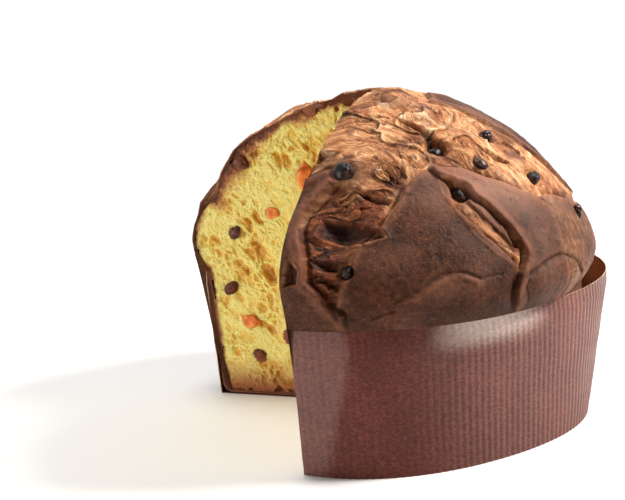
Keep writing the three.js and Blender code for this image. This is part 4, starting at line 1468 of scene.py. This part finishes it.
def cell_walls(g, place, scale, width):
    """One on the walls between cells, falling to nothing inside them."""
    away = g.node("ShaderNodeTexVoronoi", {"Vector": place, "Scale": scale}, output="Distance",
                  feature="DISTANCE_TO_EDGE")
    return g.step(away, 0.0, width, 1.0, 0.0)


def crumb_material(looks):
    g = Finish("open_crumb", looks)
    hole_shade, strand, crust_away, height = g.values("crumb")
    grain = g.texture(800, 3, 0.6)
    cloud = g.texture(70, 3, 0.5)
    drift = (g.texture(260, 2, 0.6, "Color"), (0.0035, 0.0035, 0.0035), g.place)
    warped = g.node("ShaderNodeVectorMath", drift, output="Vector", operation="MULTIPLY_ADD")
    warped = g.drawn(warped, (1.0, 1.0, 0.6))
    web = cell_walls(g, warped, 430, 0.13)
    fine_web = cell_walls(g, warped, 1150, 0.2)
    # Deeper crumb takes darker colours, as painted shade in its holes
    level = (grain - 0.5) * 0.35 + hole_shade + (0.4 - web) * 0.12 + (0.4 - fine_web) * 0.08 + (cloud - 0.5) * 0.4
    crumb = g.ramp(level, crumb_pale=0.1, crumb_middle=0.42, crumb_amber=0.72, crumb_deep=1.0)
    threads = g.math("MAXIMUM", web * 0.45, fine_web * 0.3)
    threads = threads * g.math("MULTIPLY_ADD", hole_shade, -0.7, 1.0, clamp=True)
    crumb = g.mix(g.math("MAXIMUM", strand * 0.5, threads), crumb, "crumb_strand")
    away = (grain - 0.5) * 0.12 + crust_away
    toasted = g.ramp(away, burnt_middle=0.05, crumb_toasted=0.2, crumb_amber=0.4)
    colour = g.mix(g.step(away, 0.1, 0.4), toasted, crumb)
    foot = g.step((cloud - 0.5) * 0.08 + height, 0.04, 0.21, 1.0, 0.0, kind="LINEAR")
    relief = web * 0.9 + fine_web * 0.5 + grain * 0.5
    return g.done(g.mix(foot, colour, "crumb_foot"), relief, 0.00035, 0.8, roughness=0.5, glow=0.35,
                  glow_radius=(1.0, 0.62, 0.16), glow_depth=0.004)


def raisin_material(looks):
    g = Finish("raisin_skin", looks)
    ridge, in_crumb, chance, _ = g.values("fruit")
    grain = g.texture(500, 3, 0.6)
    black = g.ramp(grain, raisin_black=0.4, raisin_bloom=0.75)
    brown = g.ramp(chance * 0.3 + grain, raisin_dark=0.3, raisin_middle=0.6, raisin_light=0.9)
    colour = g.mix(ridge * grain * 0.5, g.mix(in_crumb, black, brown), "raisin_light")
    return g.done(colour, grain, 0.0006, 0.8, roughness=0.34, gloss=0.3)


def orange_material(looks):
    g = Finish("candied_orange_peel", looks)
    shade, _, _, browned = g.values("fruit")
    grain = g.texture(420, 3, 0.6)
    colour = g.ramp(shade * 0.5 + grain * 0.5, orange_dark=0.25, orange_middle=0.5, orange_light=0.8)
    return g.done(g.mix(browned * 0.8, colour, "burnt_middle"), grain, 0.0002, 0.5, roughness=0.4, glow=0.6,
                  glow_radius=(1.0, 0.4, 0.1), glow_depth=0.003)


# Painted highlight below the rim, painted light on the side towards the key light, and painted sheen beside
# the cut: azimuth, cosine at the edge and within
RIM_HIGHLIGHT = (25, 0.92, 0.97)
LIT_SIDE_SHEEN = (40, 0.7, 0.97)
CUT_EDGE_SHEEN = (NEAR_CUT, 0.985, 0.9995)


def toward(g, azimuth, start, full):
    """Rises from nothing to one on the part of the case that lies towards an azimuth."""
    reach = MOULD_RADIUS * MM
    facing = g.node("ShaderNodeVectorMath", (g.place, (*(heading(azimuth) / reach), 0.0)), output="Value",
                    operation="DOT_PRODUCT")
    return g.step(facing, start, full)


def paper_material(looks):
    g = Finish("case_paper", looks)
    side = g.values("sheet")[0]
    mottle = g.noise(g.drawn(g.place, (1.0, 1.0, 1.5)), 620, 3, 0.7)
    level = (g.texture(45, 2, 0.5) - 0.5) * 0.3 + mottle
    outer = g.ramp(level, paper_dark=0.25, paper_middle=0.5, paper_light=0.78)
    near_rim = g.math("POWER", g.step(g.split(g.place)[2], 0.05, 0.065), 1.3)
    # Painted highlight and sheen on the paper
    pale = near_rim * toward(g, *RIM_HIGHLIGHT) * 1.1
    pale = pale + toward(g, *LIT_SIDE_SHEEN) * 0.08 + toward(g, *CUT_EDGE_SHEEN) * 0.1
    outer = g.mix(g.math("MULTIPLY", pale, mottle + 0.35, clamp=True), outer, "paper_highlight")
    inner = g.ramp(level, paper_inside_dark=0.35, paper_inside_light=0.65)
    colour = g.mix(g.math("MULTIPLY", side, 2.0, clamp=True), outer, inner)
    colour = g.mix(g.math("MULTIPLY", side - 0.55, 4.0, clamp=True), colour, "paper_edge")
    return g.done(colour, mottle, 0.00022, 0.7, roughness=(mottle - 0.5) * 0.4 + 0.4, gloss=0.17)


def backdrop(g, toward):
    """Brightness of the studio in a direction: a lit wall behind, a dim room in front."""
    return g.step(g.split(toward)[1], -0.1, 0.6, ROOM_DIM, ROOM_LIT)


def floor_material(looks):
    """A pale floor that fades into the studio's backdrop far from the object."""
    g = Finish("studio_floor", looks)
    colour = g.ramp(g.texture(3, 2), floor=0.3, floor_pale=0.7)
    g.give(g.shader.inputs["Base Color"], colour)
    g.shader.inputs["Roughness"].default_value = 0.8
    away = g.node("ShaderNodeVectorMath", (g.place,), output="Value", operation="LENGTH")
    out = g.node("ShaderNodeVectorMath", (g.place,), operation="NORMALIZE")
    glow = g.node("ShaderNodeEmission", {"Color": (1, 1, 1, 1), "Strength": backdrop(g, out)})
    mix = (g.step(away, 0.2, 1.1), Wire(g, g.shader.outputs[0]), glow)
    g.give(g.tree.nodes["Material Output"].inputs["Surface"], g.node("ShaderNodeMixShader", mix))
    return g.material


# Stage

ROOM_DIM, ROOM_LIT = 0.09, 1.03
# Side of the floor in metres, and how far it lies under the case in millimetres
FLOOR_SIDE = 80.0
FLOOR_DROP = 0.05
# Lights that shine at the loaf: name, place, size, power and colour
LIT_POINT = (0.0, 0.0, 0.08)
LIGHTS = (
    ("key", (0.82, -0.1, 0.76), 0.35, 22, (1.0, 0.96, 0.9)),
    ("overhead", (-0.1, 0.1, 1.1), 0.45, 6, (1.0, 0.97, 0.93)),
    ("left_fill", (-1.05, -0.5, 0.3), 0.3, 6, (1.0, 0.98, 0.94)),
)


def area_light(name, place, size, power, colour):
    data = bpy.data.lights.new(name, "AREA")
    data.shape = "DISK"
    data.size = size
    data.energy = power
    data.color = colour
    light = bpy.data.objects.new(name, data)
    light.location = place
    light.rotation_euler = (Vector(LIT_POINT) - Vector(place)).to_track_quat("-Z", "Y").to_euler()
    bpy.context.scene.collection.objects.link(light)


def make_camera():
    """The photograph's view: low, a little to the left, and rolled slightly."""
    rise, roll = math.radians(12), math.radians(-4)
    distance, shift_x, shift_y = 0.61, -0.0432, 0.0769
    focal_pixels, width_pixels, sensor = 1200, 625, 36.0
    back = Vector((0, -math.cos(rise), math.sin(rise)))
    level = Vector((1, 0, 0))
    upright = Vector((0, math.sin(rise), math.cos(rise)))
    right = math.cos(roll) * level + math.sin(roll) * upright
    up = -math.sin(roll) * level + math.cos(roll) * upright
    data = bpy.data.cameras.new("camera")
    data.sensor_width = sensor
    data.lens = focal_pixels * sensor / width_pixels
    camera = bpy.data.objects.new("camera", data)
    turn = Matrix((right, up, back)).transposed()
    camera.matrix_world = Matrix.Translation(back * distance + shift_x * right + shift_y * up) @ turn.to_4x4()
    bpy.context.scene.collection.objects.link(camera)
    bpy.context.scene.camera = camera


class PANETTONE_OT_stage(bpy.types.Operator):
    """Sets the pale floor, the soft lights and the camera"""

    bl_idname = "panettone.stage"
    bl_label = "Stage"

    def execute(self, context):
        corners = np.array([[-1, -1, 0], [1, -1, 0], [1, 1, 0], [-1, 1, 0]]) * FLOOR_SIDE / 2 / MM
        floor = new_object("floor", corners - [0, 0, FLOOR_DROP], np.array([[0, 1, 2], [0, 2, 3]]), {})
        floor.data.materials.append(floor_material(context.scene.panettone_looks))
        world = bpy.data.worlds.new("studio")
        world.use_nodes = True
        background = world.node_tree.nodes["Background"]
        g = Graph(world.node_tree)
        g.give(background.inputs["Strength"], backdrop(g, g.node("ShaderNodeTexCoord", output="Generated")))
        background.inputs["Color"].default_value = (1, 1, 1, 1)
        context.scene.world = world
        for light in LIGHTS:
            area_light(*light)
        context.scene.view_settings.view_transform = "Standard"
        make_camera()
        return {"FINISHED"}


# Settings


def length_setting(name, description, default, least):
    return bpy.props.FloatProperty(name=name, description=description, default=default, min=least,
                                   unit="LENGTH", precision=5)


def number_setting(name, description, default, least):
    return bpy.props.IntProperty(name=name, description=description, default=default, min=least)


class LoafSettings(bpy.types.PropertyGroup):
    front_step: length_setting("Front step", "Spacing round the front of the crust", 0.0005, 0.0003)
    back_step: length_setting("Back step", "Spacing round the back of the crust", 0.0009, 0.0003)
    row_step: length_setting("Row step", "Spacing of the crust's rows down the dome", 0.00055, 0.0003)
    crust: length_setting("Crust", "Thickness of the crust at the cut", 0.0011, 0.0005)
    crumb_step: length_setting("Crumb step", "Spacing of the crumb's points", 0.00044, 0.0003)
    crumb_depth: length_setting("Crumb depth", "Thickness of the crumb behind a cut", 0.013, 0.008)
    fruit_detail: number_setting("Fruit detail", "Subdivisions of each piece of fruit", 4, 2)


class CaseSettings(bpy.types.PropertyGroup):
    flutes: number_setting("Flutes", "Flutes round the whole case", 190, 20)
    flute_depth: length_setting("Flute depth", "Half the depth of a flute", 0.00014, 0.0001)
    paper: length_setting("Paper", "Thickness of the paper", 0.0004, 0.0001)
    columns: number_setting("Columns", "Points round the case", 1480, 100)
    rim_curl: length_setting("Rim curl", "How far the rim bends in over the loaf", 0.0009, 0.0)
    rows: number_setting("Rows", "Points up the case", 22, 2)


def linear(colour):
    return [c / 255 / 12.92 if c <= 10 else ((c / 255 + 0.055) / 1.055) ** 2.4 for c in colour]


COLOURS = {
    "skin_dark": ("Darkest specks of the smooth skin", (40, 18, 9)),
    "skin_middle": ("The smooth skin", (62, 32, 17)),
    "skin_light": ("Palest specks of the smooth skin", (94, 52, 31)),
    # Painted highlight along the skin's rolled edges
    "skin_edge_highlight": ("Rolled edges of the smooth skin", (146, 92, 66)),
    # Painted sheen of the upper skin that faces the key light
    "skin_sheen": ("Pale bloom on the upper skin", (164, 117, 98)),
    "skin_freckle": ("Fine golden freckles of the skin", (132, 76, 40)),
    "torn_dark": ("Shadowed fibres of the torn dough", (104, 52, 28)),
    "torn_middle": ("The torn dough", (168, 107, 66)),
    # The torn dough is paler on raised fibres and torn edges, partly as a painted highlight
    "torn_light": ("Raised fibres of the torn dough", (212, 160, 114)),
    "torn_pale": ("Palest fibres of the torn dough", (250, 218, 178)),
    # Deepest browning, and the colour of the painted shade in cracks, pockets and under lips
    "burnt_dark": ("Cracks and the deepest browning", (30, 14, 9)),
    "burnt_middle": ("Browned torn dough", (98, 49, 27)),
    "burnt_light": ("Raised fibres of browned dough", (172, 99, 55)),
    "crumb_strand": ("Raised strands of the crumb", (255, 243, 164)),
    "crumb_pale": ("Strands and walls of the crumb", (255, 231, 122)),
    "crumb_middle": ("The crumb", (250, 204, 84)),
    # The crumb's holes are painted darker as shade, from amber to the deepest colour; amber also tints the
    # toasted crumb
    "crumb_amber": ("Inside the crumb's holes", (224, 154, 46)),
    "crumb_deep": ("Bottoms of the deepest holes", (164, 94, 26)),
    "crumb_toasted": ("Browned crumb under the crust", (172, 84, 34)),
    "crumb_foot": ("The browned bottom of the crumb", (166, 90, 38)),
    "raisin_black": ("Raisins in the crust", (8, 6, 7)),
    "raisin_bloom": ("Dull patches on the raisins in the crust", (22, 16, 17)),
    "raisin_dark": ("Folds of the raisins in the crumb", (44, 18, 11)),
    "raisin_middle": ("Raisins in the crumb", (92, 43, 24)),
    "raisin_light": ("Ridges of the raisins in the crumb", (136, 72, 40)),
    "orange_dark": ("Rind of the candied orange", (176, 76, 16)),
    "orange_middle": ("The candied orange", (228, 122, 30)),
    "orange_light": ("Palest candied orange", (250, 180, 84)),
    "paper_dark": ("Dark fibres of the paper", (60, 26, 21)),
    "paper_middle": ("The paper case", (89, 40, 32)),
    "paper_light": ("Pale fibres of the paper", (122, 64, 53)),
    # Painted highlight and sheen of the paper
    "paper_highlight": ("Rubbed rim of the paper", (222, 200, 190)),
    "paper_inside_dark": ("Greased inside of the paper", (136, 72, 42)),
    "paper_inside_light": ("Inside of the paper", (176, 110, 68)),
    "paper_edge": ("Cut edge of the paper", (206, 182, 158)),
    "floor": ("The studio floor", (238, 238, 238)),
    "floor_pale": ("Palest patches of the studio floor", (242, 242, 242)),
}


def colour_setting(key, description, seen):
    return bpy.props.FloatVectorProperty(name=key.replace("_", " ").capitalize(), description=description,
                                         subtype="COLOR", min=0, max=1, default=linear(seen))


class LookSettings(bpy.types.PropertyGroup):
    __annotations__ = {key: colour_setting(key, *entry) for key, entry in COLOURS.items()}


class PANETTONE_PT_panel(bpy.types.Panel):
    bl_label = "Panettone"
    bl_space_type = "VIEW_3D"
    bl_region_type = "UI"
    bl_category = "Panettone"

    def draw(self, context):
        for settings in (context.scene.panettone_loaf, context.scene.panettone_case):
            for key in settings.__annotations__:
                self.layout.prop(settings, key)
        for operator in OPERATORS:
            self.layout.operator(operator.bl_idname)


OPERATORS = (PANETTONE_OT_crust, PANETTONE_OT_crumb, PANETTONE_OT_raisins, PANETTONE_OT_candied_orange,
             PANETTONE_OT_case, PANETTONE_OT_stage)
CLASSES = (LoafSettings, CaseSettings, LookSettings, *OPERATORS, PANETTONE_PT_panel)


def register():
    for item in CLASSES:
        bpy.utils.register_class(item)
    bpy.types.Scene.panettone_loaf = bpy.props.PointerProperty(type=LoafSettings)
    bpy.types.Scene.panettone_case = bpy.props.PointerProperty(type=CaseSettings)
    bpy.types.Scene.panettone_looks = bpy.props.PointerProperty(type=LookSettings)


def unregister():
    for item in reversed(CLASSES):
        bpy.utils.unregister_class(item)
    del bpy.types.Scene.panettone_loaf
    del bpy.types.Scene.panettone_case
    del bpy.types.Scene.panettone_looks


def main():
    register()
    bpy.ops.panettone.crust()
    bpy.ops.panettone.crumb()
    bpy.ops.panettone.raisins()
    bpy.ops.panettone.candied_orange()
    bpy.ops.panettone.case()
    bpy.ops.panettone.stage()


if __name__ == "__main__":
    main()
